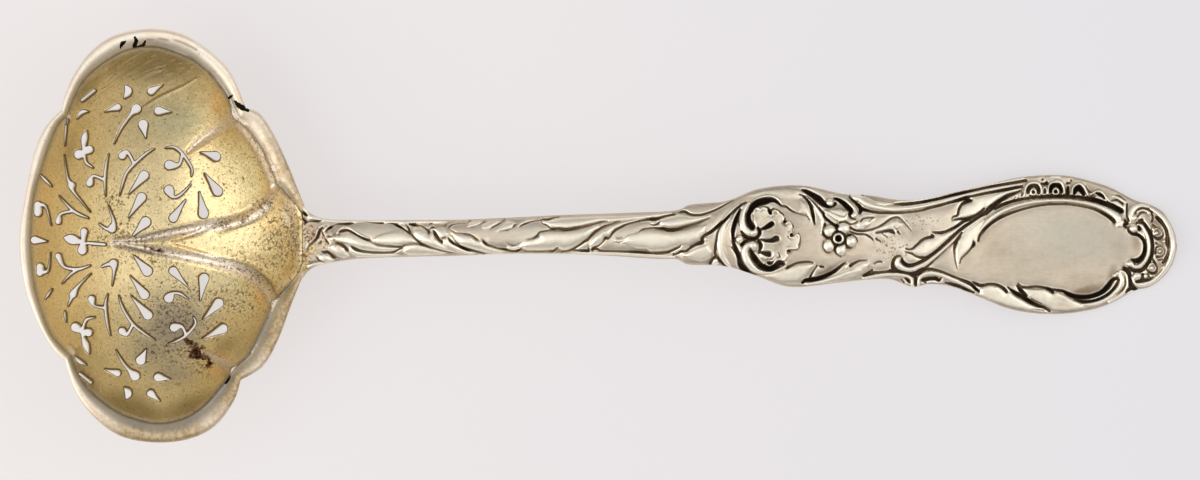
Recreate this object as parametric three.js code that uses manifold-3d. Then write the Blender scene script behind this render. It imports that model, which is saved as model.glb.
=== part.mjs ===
// Sugar sifter spoon: a small ladle with a pierced, lobed and gilt bowl, a soldered rim and a struck handle
// with spiral leaves, a shell, a flower and a plain scrolled cartouche.
// Millimetres, +Z up. The spoon lies face up, its bowl toward -X and its handle toward +X. It stands on a
// worn spot under the bowl and on the flat underside of the handle's end.

import * as THREE from 'three';
import { mergeVertices } from 'three/addons/utils/BufferGeometryUtils.js';
import Module from 'manifold-3d';

const wasm = await Module();
wasm.setup();

// Outlines and places are in picture units (px), seen from straight above, x to the right and y down.
const PX_LENGTH = 0.125;
const MIDDLE_PX = [599.24, 235.63];

// Bowl
const SHEET = 0.8;
const FAR_LIP_HEIGHT = 18.5;
const ROOT_LIP_HEIGHT = 9.6;
const SIDE_LIP_DROP = 0.6;
const WORN_SPOT_RADIUS = 2.3;
const WALL_FULLNESS = 1.9;
const WALL_REACH_SHARE = 0.85;
const LOWEST_PX = [167, 243];
const CUT_OVERRUN = 0.5;
const BOWL_RINGS = 6;
const RING_CROWDING = 1.25;
const STEPS_PER_LOBE = 8;
const ROOT_STEPS = 3;

// Rim strip
const RIM_DROP = 1.1;
const BEAD_WIDTH = 0.9;
const BEAD_HEIGHT = 0.5;
const RIM_UNDERSIDE_DROP = 1.2;

// Handle
const ROOT_THICKNESS = 2.3;
const SHANK_THICKNESS = 2.7;
const END_THICKNESS = 1.9;
const EDGE_CHAMFER = 0.35;
const RIDGE_RADIUS = 0.42;
const RIDGE_LIFT = 0.1;
const LEAF_HEIGHT = 0.5;
const PETAL_HEIGHT = 0.6;
const FRONT_POINTS = 5;
const HANDLE_STEPS = 40;
const RIDGE_SIDES = 5;

// The mouth's outer edge, from one notch between lobes to the next, counter-clockwise from above.
const ROOT_CORNERS_PX = [[306, 268], [306, 212]];
const OUTER_LOBES_PX = [
  [[306, 212], [297, 190], [287, 165], [273, 135], [259, 114], [245, 108]],
  [[245, 108], [230, 73], [208, 50], [180, 33], [148, 28], [115, 35], [92, 51], [76, 72], [66, 94],
    [62, 110]],
  [[62, 110], [47, 126], [36, 150], [27, 193], [20, 238], [25, 282], [37, 318], [54, 349], [66, 361]],
  [[66, 361], [76, 391], [94, 416], [120, 435], [153, 442], [187, 439], [214, 426], [233, 401], [240, 380]],
  [[240, 380], [262, 366], [277, 340], [289, 308], [299, 283], [306, 268]],
];

// The line where the gilt sheet meets the rim strip, lobe by lobe.
const INNER_LOBES_PX = [
  [[294.9, 214.5], [281, 197], [268, 176], [256, 150], [246, 132], [237.2, 121.5]],
  [[237.2, 121.5], [223, 91], [205, 73], [188, 60], [155, 47], [127, 50], [105, 60], [87, 78], [76, 94],
    [66.6, 115.8]],
  [[66.6, 115.8], [58, 125], [51, 141], [43, 165], [34, 200], [31, 240], [34, 280], [41, 308], [52, 335],
    [70.5, 355.7]],
  [[70.5, 355.7], [76, 372], [88, 392], [105, 407], [130, 420], [155, 424], [180, 419], [203, 406],
    [220, 389], [234.9, 370.4]],
  [[234.9, 370.4], [246, 359], [258, 336], [270, 308], [281, 284], [294.9, 266]],
];

// Piercing. A stroke is a row of [x, y, half width]; strokes that meet make one hole.
const AXIS_STROKES_PX = [
  [[103, 244.5, 1.5], [86, 243, 1.5]],
  [[82.6, 231.6, 3.7], [82, 241, 2.2]],
  [[81, 250, 4.8], [82, 242, 2.2]],
  [[63, 237.5, 0.5], [70.5, 239.3, 4.8], [78, 241.5, 2.4]],
  [[36, 240, 4], [48, 241.3, 0.5]],
];
const UPPER_STROKES_PX = [
  [[110, 228.5, 4.3], [111.5, 221, 1.7], [106, 205, 0.6]],
  [[110, 228.5, 2.5], [104.7, 229, 1.5], [97, 223.5, 0.8]],
  [[152.3, 148.4, 0.8], [143.7, 153.7, 1.4], [132, 164, 1.6], [124.4, 173, 1.5], [120.6, 183, 1.3],
    [117.2, 195.6, 0.6]],
  [[132, 164, 1.5], [125.5, 152, 1.7], [120.6, 155.6, 4]],
  [[107, 153.7, 0.7], [104.5, 165, 1.4], [103, 180, 1.5], [103.5, 196, 0.6]],
  [[103, 180, 1.5], [92, 176, 1.4], [88.4, 183, 3.8]],
  [[71, 185.5, 3.7], [73, 192, 1.5], [88.8, 212, 0.6]],
  [[71, 185.5, 2.5], [67, 177, 1.2], [64, 155, 0.6]],
  [[67.5, 119, 0.6], [66, 131, 1.3], [64.8, 146, 0.6]],
  [[87, 218, 0.7], [72.5, 211, 1.5], [58.6, 195.6, 0.6]],
  [[72.5, 211, 1.4], [60.5, 214, 1.5], [58, 221.5, 3.1]],
  [[78.3, 154.6, 4.8], [83.5, 153, 2.5], [88.4, 149.8, 4.2]],
  [[86.4, 130.6, 0.5], [84, 138.5, 3.3], [83, 148, 1.8], [83.5, 153.5, 2]],
  [[83.5, 154, 1.6], [85, 162.5, 1.4], [91.7, 167.6, 0.8]],
  [[124.5, 86, 0.8], [127.5, 91.8, 3.8], [123.3, 98.4, 0.8]],
  [[135, 109, 5], [129.7, 114.7, 1.9], [120, 128, 1.4], [112.4, 143.6, 0.7]],
  [[82.6, 100.8, 1.7], [94.6, 91.2, 1.7]],
  [[77, 119, 0.7], [82, 112.8, 2.2], [88.4, 111.8, 0.7]],
  [[163, 147.7, 0.7], [172, 147.2, 1.4], [180, 153.6, 1.6], [189, 167.7, 1.3], [189, 176, 0.7]],
  [[180, 154, 1.6], [176.5, 164.5, 1.7], [167, 165, 5]],
  [[166.4, 190, 5], [170.5, 197, 1.7], [178, 194.5, 1.4], [188.5, 184, 0.6]],
  [[41.3, 175, 0.7], [46.5, 180.5, 1.5], [52, 186.4, 0.8]],
  [[39, 205, 3.6], [39, 213, 3.8]],
  [[39, 206, 2], [46, 206.5, 1.4], [51, 225.4, 0.6]],
];
const LOWER_STROKES_PX = [
  [[111.4, 263.4, 4.3], [112, 271, 1.7], [110, 286, 0.6]],
  [[111.4, 263.4, 2.5], [105, 264.5, 1.5], [99.4, 267, 0.8]],
  [[116.7, 295.6, 0.6], [119.5, 305, 1.3], [123.5, 313, 1.5], [131, 324, 1.6], [141.7, 332.7, 1.4],
    [153.3, 340.4, 0.8]],
  [[131, 324, 1.5], [125.5, 334, 1.7], [120.6, 331, 4]],
  [[106, 294, 0.6], [103.8, 305, 1.5], [106, 324, 1.4], [109, 335.6, 0.7]],
  [[104, 308, 1.5], [93, 305.5, 1.4], [90.3, 299, 3.8]],
  [[72.5, 294, 3.7], [77.3, 286, 1.5], [89.3, 273.5, 0.6]],
  [[72.5, 294, 2.4], [69.6, 301, 1.3], [67.5, 306, 0.7]],
  [[64.6, 311, 0.7], [65, 315, 1.4], [66, 322, 0.6]],
  [[88.8, 265.3, 0.7], [77, 269, 1.5], [63.8, 266.7, 1.5], [58, 256, 3.1]],
  [[77.3, 269, 1.4], [69.6, 274.4, 1.3], [61.4, 283.6, 0.6]],
  [[75.4, 327, 4.8], [82, 331, 2.5], [87.9, 332.2, 4.2]],
  [[82, 331.5, 2], [82.8, 337, 1.8], [86, 345.5, 3.2], [89.3, 353.8, 0.5]],
  [[93.7, 317.3, 0.8], [85.5, 319.5, 1.4], [82, 330, 1.6]],
  [[124, 387, 0.8], [128, 392.3, 3.7], [126, 398, 0.8]],
  [[134, 375.5, 5], [128, 369.5, 1.9], [121, 361, 1.4], [114.8, 350, 0.7]],
  [[75.5, 356, 0.9], [80.5, 361, 2.1], [86.5, 364.6, 0.7]],
  [[81, 373, 1.7], [91.7, 381.7, 1.7]],
  [[191, 316.7, 0.7], [193, 324, 1.4], [184, 335, 1.6], [175.6, 340.3, 1.4], [166.4, 343.8, 0.7]],
  [[184, 335, 1.6], [179.5, 326.5, 1.7], [172, 327.4, 4.6]],
  [[166.4, 298, 5], [170.5, 293.3, 1.7], [177.7, 293.8, 1.4], [186, 299.5, 0.6]],
  [[41, 266.5, 3.6], [41, 272.5, 3.6]],
  [[41, 270.5, 2], [48, 270.6, 1.4], [50.4, 252.3, 0.6]],
  [[52.3, 288.8, 0.7], [49, 294, 1.4], [46, 298.5, 0.7]],
];

// Drops: [x, y, radius] of the round head and the [x, y] where the tail runs out.
const DROPS_PX = [
  [143, 222, 5.3, 129.7, 236.4], [139, 197.5, 5, 126, 217.7], [141.7, 175.4, 5, 126.3, 194],
  [144.6, 271, 5.3, 130.7, 255], [142, 294.6, 5, 127.8, 276], [145.6, 315, 5, 128.8, 296],
  [150, 91.5, 4, 162, 84.6], [116.7, 107.5, 3.6, 103.8, 111.8], [157, 111, 4.5, 170, 112],
  [141.5, 124.5, 5, 144, 138], [150, 393, 4, 159.5, 401], [116.7, 372.6, 3.6, 104, 368.8],
  [157, 377, 4.5, 169.5, 379], [139.3, 360, 5, 144.6, 349], [170.5, 218, 4.4, 183, 199.5],
  [170.5, 271, 4.4, 185, 286.7], [213.6, 156.4, 5, 198, 152], [215, 191, 5.3, 202, 173],
  [200.8, 213.5, 5.3, 196.7, 191.5], [220.8, 328.5, 5, 200.3, 338.7], [216, 303.3, 5.3, 200.3, 319.7],
  [201.3, 278.5, 5.3, 197.7, 301],
];
const DROP_NECK_SHARE = 0.45;
const DROP_TAIL_PX = 0.6;
const ROUND_END_RADIUS = 0.34;

// Handle outline from the root to the end: the two long edges, as seen from above.
const UPPER_EDGE_PX = [
  [306, 212], [314, 216], [326, 219], [349, 220], [448, 219.8], [500, 218], [561, 215], [622, 213],
  [673, 210.6], [690, 204.5], [726, 200.7], [758, 188.8], [800, 185.3], [842, 193.7], [868, 195],
  [903, 200], [938, 195.8], [994, 182.5], [1022, 176.8], [1050, 174.7], [1071, 176], [1092, 181],
  [1126, 193.7], [1148, 200.7], [1162, 209], [1173.6, 225], [1178, 240],
];
const LOWER_EDGE_PX = [
  [306, 268], [314, 266], [326, 263.4], [356, 258.8], [402, 257], [448, 256], [520, 254], [592, 255],
  [653, 258.8], [675, 259.3], [688, 264.5], [722, 266], [750, 273.7], [779, 285], [800, 287], [840, 282.5],
  [864, 280], [889, 279.3], [912, 287], [930, 284.2], [952, 287], [980, 297.5], [1008, 308.7],
  [1036, 313.6], [1064, 314], [1092, 310], [1128, 294.7], [1144, 287.7], [1160, 281], [1172, 268],
  [1178, 250],
];

// Shares of the handle's length, with the height of its underside as a share of the root's.
const UNDERSIDE_SHARES = [
  [0, 1], [0.08, 1.06], [0.2, 1.14], [0.32, 1.13], [0.45, 0.98], [0.6, 0.7], [0.75, 0.36], [0.86, 0.1],
  [0.93, 0], [1, 0],
];
// Where the section has become the shank's, where it starts to thin toward the end, and where it is thin.
const SHANK_FROM_SHARE = 0.06;
const THINNING_FROM_SHARE = 0.55;
const THIN_FROM_SHARE = 0.8;
// How high the section's sides stand, as a share of its thickness.
const SIDE_SHARE = 0.55;

// Raised mouldings along the handle: [x, y] of each ridge's middle line, and each one's radius as a share.
const RIDGE_PATHS_PX = [
  [[958, 240], [980, 217], [1000, 206], [1030, 201.5], [1062, 200.5], [1092, 205], [1110, 212],
    [1119, 224]],
  [[896, 259], [900, 268], [911, 269], [928, 261], [945, 249], [959, 235], [978, 219]],
  [[1134, 230], [1144, 229], [1150, 238], [1151, 251], [1145, 263], [1133, 265]],
  [[1132, 214], [1139, 206], [1150, 206.5], [1162, 215], [1170, 230], [1171, 250], [1163, 267],
    [1151, 279], [1137, 281]],
  [[1122, 276], [1124, 286], [1114, 296], [1098, 302], [1080, 304]],
  [[862, 199], [880, 205], [903, 206], [938, 201], [966, 194], [1000, 186.5]],
  [[1004, 186], [1030, 181.5], [1052, 179.5], [1076, 181.5], [1100, 190], [1122, 200]],
  [[754, 232], [745, 231], [741, 221], [745, 208], [756, 198], [769, 195], [779, 199]],
  [[754, 246], [746, 247], [744, 256], [752, 267], [766, 274], [782, 272]],
  [[735, 206], [731, 222], [729, 238], [733, 256], [740, 268]],
  [[838, 196], [850, 203], [855, 211], [851, 216]],
  [[868, 276], [889, 274.5], [904, 278], [911, 284]],
  [[919, 283], [924, 274], [938, 273], [959, 280], [980, 290]],
];
const RIDGE_RADIUS_SHARES = [1, 1.5, 1.2, 1.1, 1.5, 1.3, 0.9, 1.4, 1.4, 1.1, 1.1, 1.1, 1.2];

// Raised leaves, petals and lobes: [x, y, half length, half width, turn in degrees] on the handle's face.
const LEAVES_PX = [
  [928, 246, 24, 9, 32], [968, 208, 17, 7, 40], [964, 250, 17, 8, 70], [990, 291, 20, 7, -20],
  [1034, 296, 22, 7, -20], [790, 199, 26, 8, -10], [812, 277, 26, 6, 8], [720, 236, 30, 6, 80],
  [640, 238, 48, 9, 5], [540, 241, 40, 8, 2], [450, 238, 42, 9, -12], [375, 238, 40, 8, -4],
];
const FLOWER_PX = [837.5, 238.6];
const PETALS = 5;
const PETAL_RING_PX = 12;
const PETAL_RADIUS_PX = 6.4;
const PETAL_TURN_DEG = -25;
const FLOWER_EYE_PX = 5.6;
const SHELL_PX = [757, 239];
const SHELL_LOBES = 6;
const SHELL_LOBE_REACH_PX = 22;
const SHELL_LOBE_PX = [13, 6.5];
const SHELL_FIRST_DEG = -75;
const SHELL_SPAN_DEG = 150;

// Colours and finish
const GILT = { color: 0xcdb06a, metalness: 1, roughness: 0.34 };
const SILVER = { color: 0xd8cfc0, metalness: 1, roughness: 0.28 };

// Raised ribs inside the bowl, from their narrow tips to their wide ends.
const RIB_HALF_WIDTH = 0.55;
const RIB_LIFT = 0.1;
const RIB_TIP_SHARE = 0.5;
const RIB_SIDES = 5;
const RIBS_PX = [
  [[116, 241], [155, 237], [200, 230], [232, 222], [256, 212], [266, 204]],
  [[116, 245], [155, 251], [190, 256], [222, 263], [246, 276], [260, 290]],
  [[190, 149], [206, 137], [224, 130]],
  [[203, 352], [213, 359], [222, 363]],
];

const FULL_TURN = Math.PI * 2;
const SOFTENING_SPAN = Math.PI / 5;
const TABLE_STEPS = 1440;
// How far to each side a surface is felt for its normal, as a share of the way out and of a turn.
const NORMAL_SHARE = 0.015;
const SEARCH_TO_SHARE = 1.1;

const placeX = (px) => (px - MIDDLE_PX[0]) * PX_LENGTH;
const placeY = (py) => (MIDDLE_PX[1] - py) * PX_LENGTH;
const LOWEST = new THREE.Vector2(placeX(LOWEST_PX[0]), placeY(LOWEST_PX[1]));
const ROOT_X = placeX(ROOT_CORNERS_PX[0][0]);
const FAR_X = placeX(Math.min(...OUTER_LOBES_PX.flat().map(([x]) => x)));
const HALF_MOUTH = placeY(Math.min(...OUTER_LOBES_PX.flat().map(([, y]) => y)));

// Solids

function solidFrom(geometry) {
  const bare = new THREE.BufferGeometry();
  bare.setAttribute('position', geometry.attributes.position);
  bare.setIndex(geometry.index);
  const merged = mergeVertices(bare, PX_LENGTH / 1000);
  const vertProperties = new Float32Array(merged.attributes.position.array);
  const triVerts = new Uint32Array(merged.index.array);
  return new wasm.Manifold(new wasm.Mesh({ numProp: 3, vertProperties, triVerts }));
}

function geometryFrom(solid) {
  const mesh = solid.getMesh();
  const geometry = new THREE.BufferGeometry();
  geometry.setAttribute('position', new THREE.BufferAttribute(new Float32Array(mesh.vertProperties), 3));
  geometry.setIndex(new THREE.BufferAttribute(new Uint32Array(mesh.triVerts), 1));
  return geometry;
}

// A closed skin through a row of closed rings of points: each ring joins the next, and the last one either
// joins the first again or is closed by a fan, as the first one is.
function skinGeometry(rings, endless) {
  const count = rings[0].length;
  const points = rings.flat();
  const index = [];
  const bands = endless ? rings.length : rings.length - 1;
  for (let i = 0; i < bands; i++) {
    const here = i * count;
    const next = ((i + 1) % rings.length) * count;
    for (let j = 0; j < count; j++) {
      const k = (j + 1) % count;
      index.push(here + j, here + k, next + k);
      index.push(here + j, next + k, next + j);
    }
  }
  if (!endless) {
    for (const ring of [0, rings.length - 1]) {
      const middle = rings[ring].reduce((sum, p) => sum.add(p), new THREE.Vector3()).divideScalar(count);
      const m = points.push(middle) - 1;
      for (let j = 0; j < count; j++) {
        const a = ring * count + j;
        const b = ring * count + ((j + 1) % count);
        index.push(m, ...(ring === 0 ? [b, a] : [a, b]));
      }
    }
  }
  const geometry = new THREE.BufferGeometry();
  const places = points.flatMap((p) => [p.x, p.y, p.z]);
  geometry.setAttribute('position', new THREE.Float32BufferAttribute(places, 3));
  geometry.setIndex(index);
  return geometry;
}

// A plug between two outlines with as many points, the first one above the second, counter-clockwise.
function plugGeometry(top, bottom) {
  const count = top.length;
  const index = [];
  const plan = top.map((p) => new THREE.Vector2(p.x, p.y));
  for (const [a, b, c] of THREE.ShapeUtils.triangulateShape(plan, [])) {
    const turn = plan[b].clone().sub(plan[a]).cross(plan[c].clone().sub(plan[a]));
    const [p, q, r] = turn > 0 ? [a, b, c] : [a, c, b];
    index.push(p, q, r, count + p, count + r, count + q);
  }
  for (let i = 0; i < count; i++) {
    const j = (i + 1) % count;
    index.push(count + i, count + j, j, count + i, j, i);
  }
  const geometry = new THREE.BufferGeometry();
  const places = [...top, ...bottom].flatMap((p) => [p.x, p.y, p.z]);
  geometry.setAttribute('position', new THREE.Float32BufferAttribute(places, 3));
  geometry.setIndex(index);
  return geometry;
}

// A round bar along points in space, with a radius at each.
function barGeometry(points, radii, sides) {
  const path = new THREE.CatmullRomCurve3(points);
  const steps = points.length;
  const rings = [];
  for (let i = 0; i <= steps; i++) {
    const u = i / steps;
    const middle = path.getPoint(u);
    const along = path.getTangent(u);
    const side = new THREE.Vector3(-along.y, along.x, 0).normalize();
    const up = new THREE.Vector3().crossVectors(along, side);
    const place = u * (radii.length - 1);
    const low = Math.min(Math.floor(place), radii.length - 2);
    const radius = THREE.MathUtils.lerp(radii[low], radii[low + 1], place - low);
    const ring = [];
    for (let k = 0; k < sides; k++) {
      const angle = (k / sides) * FULL_TURN;
      ring.push(middle.clone().addScaledVector(side, radius * Math.cos(angle))
        .addScaledVector(up, radius * Math.sin(angle)));
    }
    rings.push(ring);
  }
  return skinGeometry(rings, false);
}

// The mouth of the bowl, as a radius for each direction from its lowest point

const directionOf = (x, y) => (Math.atan2(y - LOWEST.y, x - LOWEST.x) + FULL_TURN) % FULL_TURN;
const pointsOf = (row) => row.map(([x, y]) => new THREE.Vector2(placeX(x), placeY(y)));

// Distance from the lowest point, in one direction, to the line through a and b.
function reachTo(a, b, angle) {
  const cross = (b.x - a.x) * Math.sin(angle) - (b.y - a.y) * Math.cos(angle);
  return ((b.x - a.x) * (a.y - LOWEST.y) - (b.y - a.y) * (a.x - LOWEST.x)) / cross;
}

function mouthRadius(lobes) {
  const edge = lobes.flatMap((lobe) => new THREE.SplineCurve(pointsOf(lobe)).getPoints(STEPS_PER_LOBE * 4));
  const table = new Array(TABLE_STEPS).fill(0);
  edge.forEach((a, i) => {
    const b = edge[(i + 1) % edge.length];
    const from = directionOf(a.x, a.y);
    const span = (directionOf(b.x, b.y) - from + FULL_TURN) % FULL_TURN;
    if (span > Math.PI) return;
    const first = Math.ceil((from / FULL_TURN) * TABLE_STEPS);
    const last = Math.floor(((from + span) / FULL_TURN) * TABLE_STEPS);
    for (let k = first; k <= last; k++) {
      table[k % TABLE_STEPS] = reachTo(a, b, (k / TABLE_STEPS) * FULL_TURN);
    }
  });
  return table;
}

function lookUp(table, direction) {
  const place = ((direction / FULL_TURN) * TABLE_STEPS + TABLE_STEPS) % TABLE_STEPS;
  const low = Math.floor(place);
  return THREE.MathUtils.lerp(table[low % TABLE_STEPS], table[(low + 1) % TABLE_STEPS], place - low);
}

const INNER_TABLE = mouthRadius(INNER_LOBES_PX);
const OUTER_TABLE = mouthRadius(OUTER_LOBES_PX);
const innerRadius = (direction) => lookUp(INNER_TABLE, direction);
const outerRadius = (direction) => lookUp(OUTER_TABLE, direction);

// The inner edge with its notches smoothed away, which the wall follows near the bottom.
const SOFT_TABLE = INNER_TABLE.map((_, k) => {
  const reach = Math.round((SOFTENING_SPAN / FULL_TURN) * TABLE_STEPS);
  let sum = 0;
  for (let i = -reach; i <= reach; i++) sum += INNER_TABLE[(k + i + TABLE_STEPS) % TABLE_STEPS];
  return sum / (2 * reach + 1);
});

// Directions where the bowl is divided: each lobe evenly, with its notches kept sharp.
const DIRECTIONS = (() => {
  const corners = [...OUTER_LOBES_PX.map((lobe) => lobe[0]), ROOT_CORNERS_PX[0]];
  const angles = corners.map(([x, y]) => directionOf(placeX(x), placeY(y)));
  return angles.flatMap((from, i) => {
    const span = (angles[(i + 1) % angles.length] - from + FULL_TURN) % FULL_TURN;
    const steps = i === angles.length - 1 ? ROOT_STEPS : Math.round(STEPS_PER_LOBE * Math.sqrt(span));
    return Array.from({ length: steps }, (_, j) => from + (j / steps) * span);
  });
})();

// Height of the mouth's top edge: it leans toward the handle, and a little to one side.
function lipHeight(x, y) {
  const along = (ROOT_X - x) / (ROOT_X - FAR_X);
  return ROOT_LIP_HEIGHT + (FAR_LIP_HEIGHT - ROOT_LIP_HEIGHT) * along - (SIDE_LIP_DROP * y) / HALF_MOUTH;
}

// The bowl's sheet

const wallRise = (t) => 1 - (1 - (t * WALL_REACH_SHARE) ** WALL_FULLNESS) ** (1 / WALL_FULLNESS);

function planRadius(direction, t) {
  const sharp = t ** 3;
  return t * THREE.MathUtils.lerp(lookUp(SOFT_TABLE, direction), innerRadius(direction), sharp);
}

function innerPoint(direction, t) {
  const r = planRadius(direction, t);
  const edge = innerRadius(direction);
  const edgeX = LOWEST.x + edge * Math.cos(direction);
  const edgeY = LOWEST.y + edge * Math.sin(direction);
  const rise = lipHeight(edgeX, edgeY) - RIM_DROP - SHEET;
  const x = LOWEST.x + r * Math.cos(direction);
  const y = LOWEST.y + r * Math.sin(direction);
  return new THREE.Vector3(x, y, SHEET + (rise * wallRise(t)) / wallRise(1));
}

// The sheet's normal, toward the inside of the bowl.
function sheetNormal(direction, t) {
  const near = Math.max(t, NORMAL_SHARE * 2);
  const along = innerPoint(direction, near + NORMAL_SHARE).sub(innerPoint(direction, near - NORMAL_SHARE));
  const across = innerPoint(direction + NORMAL_SHARE, near).sub(innerPoint(direction - NORMAL_SHARE, near));
  return along.cross(across).normalize();
}

// The place on the inner surface straight below a point of the plan, as its direction and share.
function shareAt(x, y) {
  const direction = directionOf(x, y);
  const r = Math.hypot(x - LOWEST.x, y - LOWEST.y);
  let low = 0;
  let high = SEARCH_TO_SHARE;
  for (let i = 0; i < 30; i++) {
    const t = (low + high) / 2;
    if (planRadius(direction, t) < r) low = t;
    else high = t;
  }
  return [direction, low];
}

const WORN_SHARE = WORN_SPOT_RADIUS / lookUp(SOFT_TABLE, Math.PI / 2);
const RING_SHARES = Array.from({ length: BOWL_RINGS + 1 }, (_, i) => (
  WORN_SHARE + (1 - WORN_SHARE) * Math.sin((i / BOWL_RINGS) * RING_CROWDING) / Math.sin(RING_CROWDING)
));
const INNER_RINGS = RING_SHARES.map((t) => DIRECTIONS.map((d) => innerPoint(d, t)));
const OUTER_RINGS = RING_SHARES.map((t, i) => DIRECTIONS.map((d, j) => (
  i === 0
    ? INNER_RINGS[0][j].clone().setZ(0)
    : INNER_RINGS[i][j].clone().addScaledVector(sheetNormal(d, t), -SHEET)
)));

// A stroke's outline in the plan, counter-clockwise, with round ends.
function strokeOutline(stroke) {
  const marks = stroke.map(([x, y, r]) => [placeX(x), placeY(y), r * PX_LENGTH]);
  const last = marks.length - 1;
  const turned = (i, angle) => {
    const [x, y, r] = marks[i];
    const [x0, y0] = marks[Math.max(i - 1, 0)];
    const [x1, y1] = marks[Math.min(i + 1, last)];
    const heading = Math.atan2(y1 - y0, x1 - x0) + angle;
    return new THREE.Vector2(x + r * Math.cos(heading), y + r * Math.sin(heading));
  };
  const cap = (i, from) => {
    const steps = marks[i][2] > ROUND_END_RADIUS ? 4 : 1;
    return Array.from({ length: steps + 1 }, (_, k) => turned(i, from + (k / steps) * Math.PI));
  };
  const right = marks.slice(1, last).map((_, k) => turned(k + 1, -Math.PI / 2));
  const left = marks.slice(1, last).map((_, k) => turned(k + 1, Math.PI / 2)).reverse();
  return [...cap(0, Math.PI / 2), ...right, ...cap(last, -Math.PI / 2), ...left];
}

// A cutter through the sheet, square to it all along a stroke's outline.
function strokeCutter(stroke) {
  const places = strokeOutline(stroke).map((p) => shareAt(p.x, p.y));
  const surface = places.map(([d, t]) => [innerPoint(d, t), sheetNormal(d, t)]);
  const top = surface.map(([p, n]) => p.clone().addScaledVector(n, CUT_OVERRUN + RIB_HALF_WIDTH));
  const bottom = surface.map(([p, n]) => p.clone().addScaledVector(n, -SHEET - CUT_OVERRUN));
  return solidFrom(plugGeometry(top, bottom));
}

function dropStroke([x, y, r, tailX, tailY]) {
  const neck = [(x + tailX) / 2, (y + tailY) / 2, r * DROP_NECK_SHARE];
  return [[x, y, r], neck, [tailX, tailY, DROP_TAIL_PX]];
}

function ribBar(row) {
  const points = pointsOf(row).map((p) => {
    const [direction, t] = shareAt(p.x, p.y);
    return innerPoint(direction, t).addScaledVector(sheetNormal(direction, t), RIB_LIFT - RIB_HALF_WIDTH / 2);
  });
  const last = points.length - 1;
  const radii = points.map((_, i) => RIB_HALF_WIDTH * THREE.MathUtils.lerp(RIB_TIP_SHARE, 1, i / last));
  return solidFrom(barGeometry(points, radii, RIB_SIDES));
}

function bowlSolid() {
  const rings = [...OUTER_RINGS, ...INNER_RINGS.toReversed()];
  const sheet = solidFrom(skinGeometry(rings, false));
  const ribs = RIBS_PX.map(ribBar);
  const strokes = [...AXIS_STROKES_PX, ...UPPER_STROKES_PX, ...LOWER_STROKES_PX, ...DROPS_PX.map(dropStroke)];
  const piercing = wasm.Manifold.union(strokes.map(strokeCutter));
  return wasm.Manifold.union([sheet, ...ribs]).subtract(piercing);
}

// Rim strip: a bevel that rises from the sheet's edge to a round bead on the outside

function rimSolid() {
  const last = RING_SHARES.length - 1;
  const rings = DIRECTIONS.map((d, j) => {
    const reach = outerRadius(d);
    const x = LOWEST.x + reach * Math.cos(d);
    const y = LOWEST.y + reach * Math.sin(d);
    const lip = lipHeight(x, y);
    const inward = (distance, height) => new THREE.Vector3(
      x - distance * Math.cos(d),
      y - distance * Math.sin(d),
      height,
    );
    return [
      INNER_RINGS[last][j],
      inward(BEAD_WIDTH, lip - BEAD_HEIGHT / 3),
      inward(BEAD_WIDTH / 2, lip),
      inward(BEAD_WIDTH / 8, lip - BEAD_HEIGHT / 3),
      inward(0, lip - BEAD_HEIGHT),
      inward(0, lip - RIM_UNDERSIDE_DROP),
      OUTER_RINGS[last][j],
    ];
  });
  return solidFrom(skinGeometry(rings, true));
}

// Handle: a bar with a flat back and a rounded front, which carries the struck relief

const HANDLE_START_PX = ROOT_CORNERS_PX[0][0];
const HANDLE_END_PX = UPPER_EDGE_PX.at(-1)[0];
const ROOT_UNDERSIDE = ROOT_LIP_HEIGHT - ROOT_THICKNESS;

// The value at one place of a row of [place, value], straight from each entry to the next.
function along(row, place) {
  const last = row.length - 1;
  const next = Math.min(Math.max(row.findIndex(([at]) => at > place), 1), last);
  const i = place >= row[last][0] ? last : next;
  const [at0, value0] = row[i - 1];
  const [at1, value1] = row[i];
  return THREE.MathUtils.lerp(value0, value1, THREE.MathUtils.clamp((place - at0) / (at1 - at0), 0, 1));
}

function handleSection(px) {
  const share = (px - HANDLE_START_PX) / (HANDLE_END_PX - HANDLE_START_PX);
  const shank = THREE.MathUtils.smoothstep(share, 0, SHANK_FROM_SHARE);
  const thin = THREE.MathUtils.smoothstep(share, THINNING_FROM_SHARE, THIN_FROM_SHARE);
  const thickness = THREE.MathUtils.lerp(
    THREE.MathUtils.lerp(ROOT_THICKNESS, SHANK_THICKNESS, shank),
    END_THICKNESS,
    thin,
  );
  const underside = ROOT_UNDERSIDE * along(UNDERSIDE_SHARES, share);
  return {
    x: placeX(px),
    left: placeY(along(UPPER_EDGE_PX, px)),
    right: placeY(along(LOWER_EDGE_PX, px)),
    underside,
    side: underside + thickness * SIDE_SHARE,
    crown: thickness * (1 - SIDE_SHARE),
  };
}

function handleRing(px) {
  const { x, left, right, underside, side, crown } = handleSection(px);
  const front = Array.from({ length: FRONT_POINTS }, (_, k) => {
    const across = (k / (FRONT_POINTS - 1)) * 2 - 1;
    const y = THREE.MathUtils.lerp(left, right, (across + 1) / 2);
    return new THREE.Vector3(x, y, side + crown * (1 - across ** 2));
  });
  const chamfer = Math.min(EDGE_CHAMFER, (left - right) / 4);
  return [
    ...front,
    new THREE.Vector3(x, right, underside + chamfer),
    new THREE.Vector3(x, right + chamfer, underside),
    new THREE.Vector3(x, left - chamfer, underside),
    new THREE.Vector3(x, left, underside + chamfer),
  ];
}

// Height of the handle's plain front at a place of the plan, in picture units.
function frontHeight(px, py) {
  const { left, right, side, crown } = handleSection(px);
  const across = THREE.MathUtils.clamp(((placeY(py) - right) / (left - right)) * 2 - 1, -1, 1);
  return side + crown * (1 - across ** 2);
}

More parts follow.
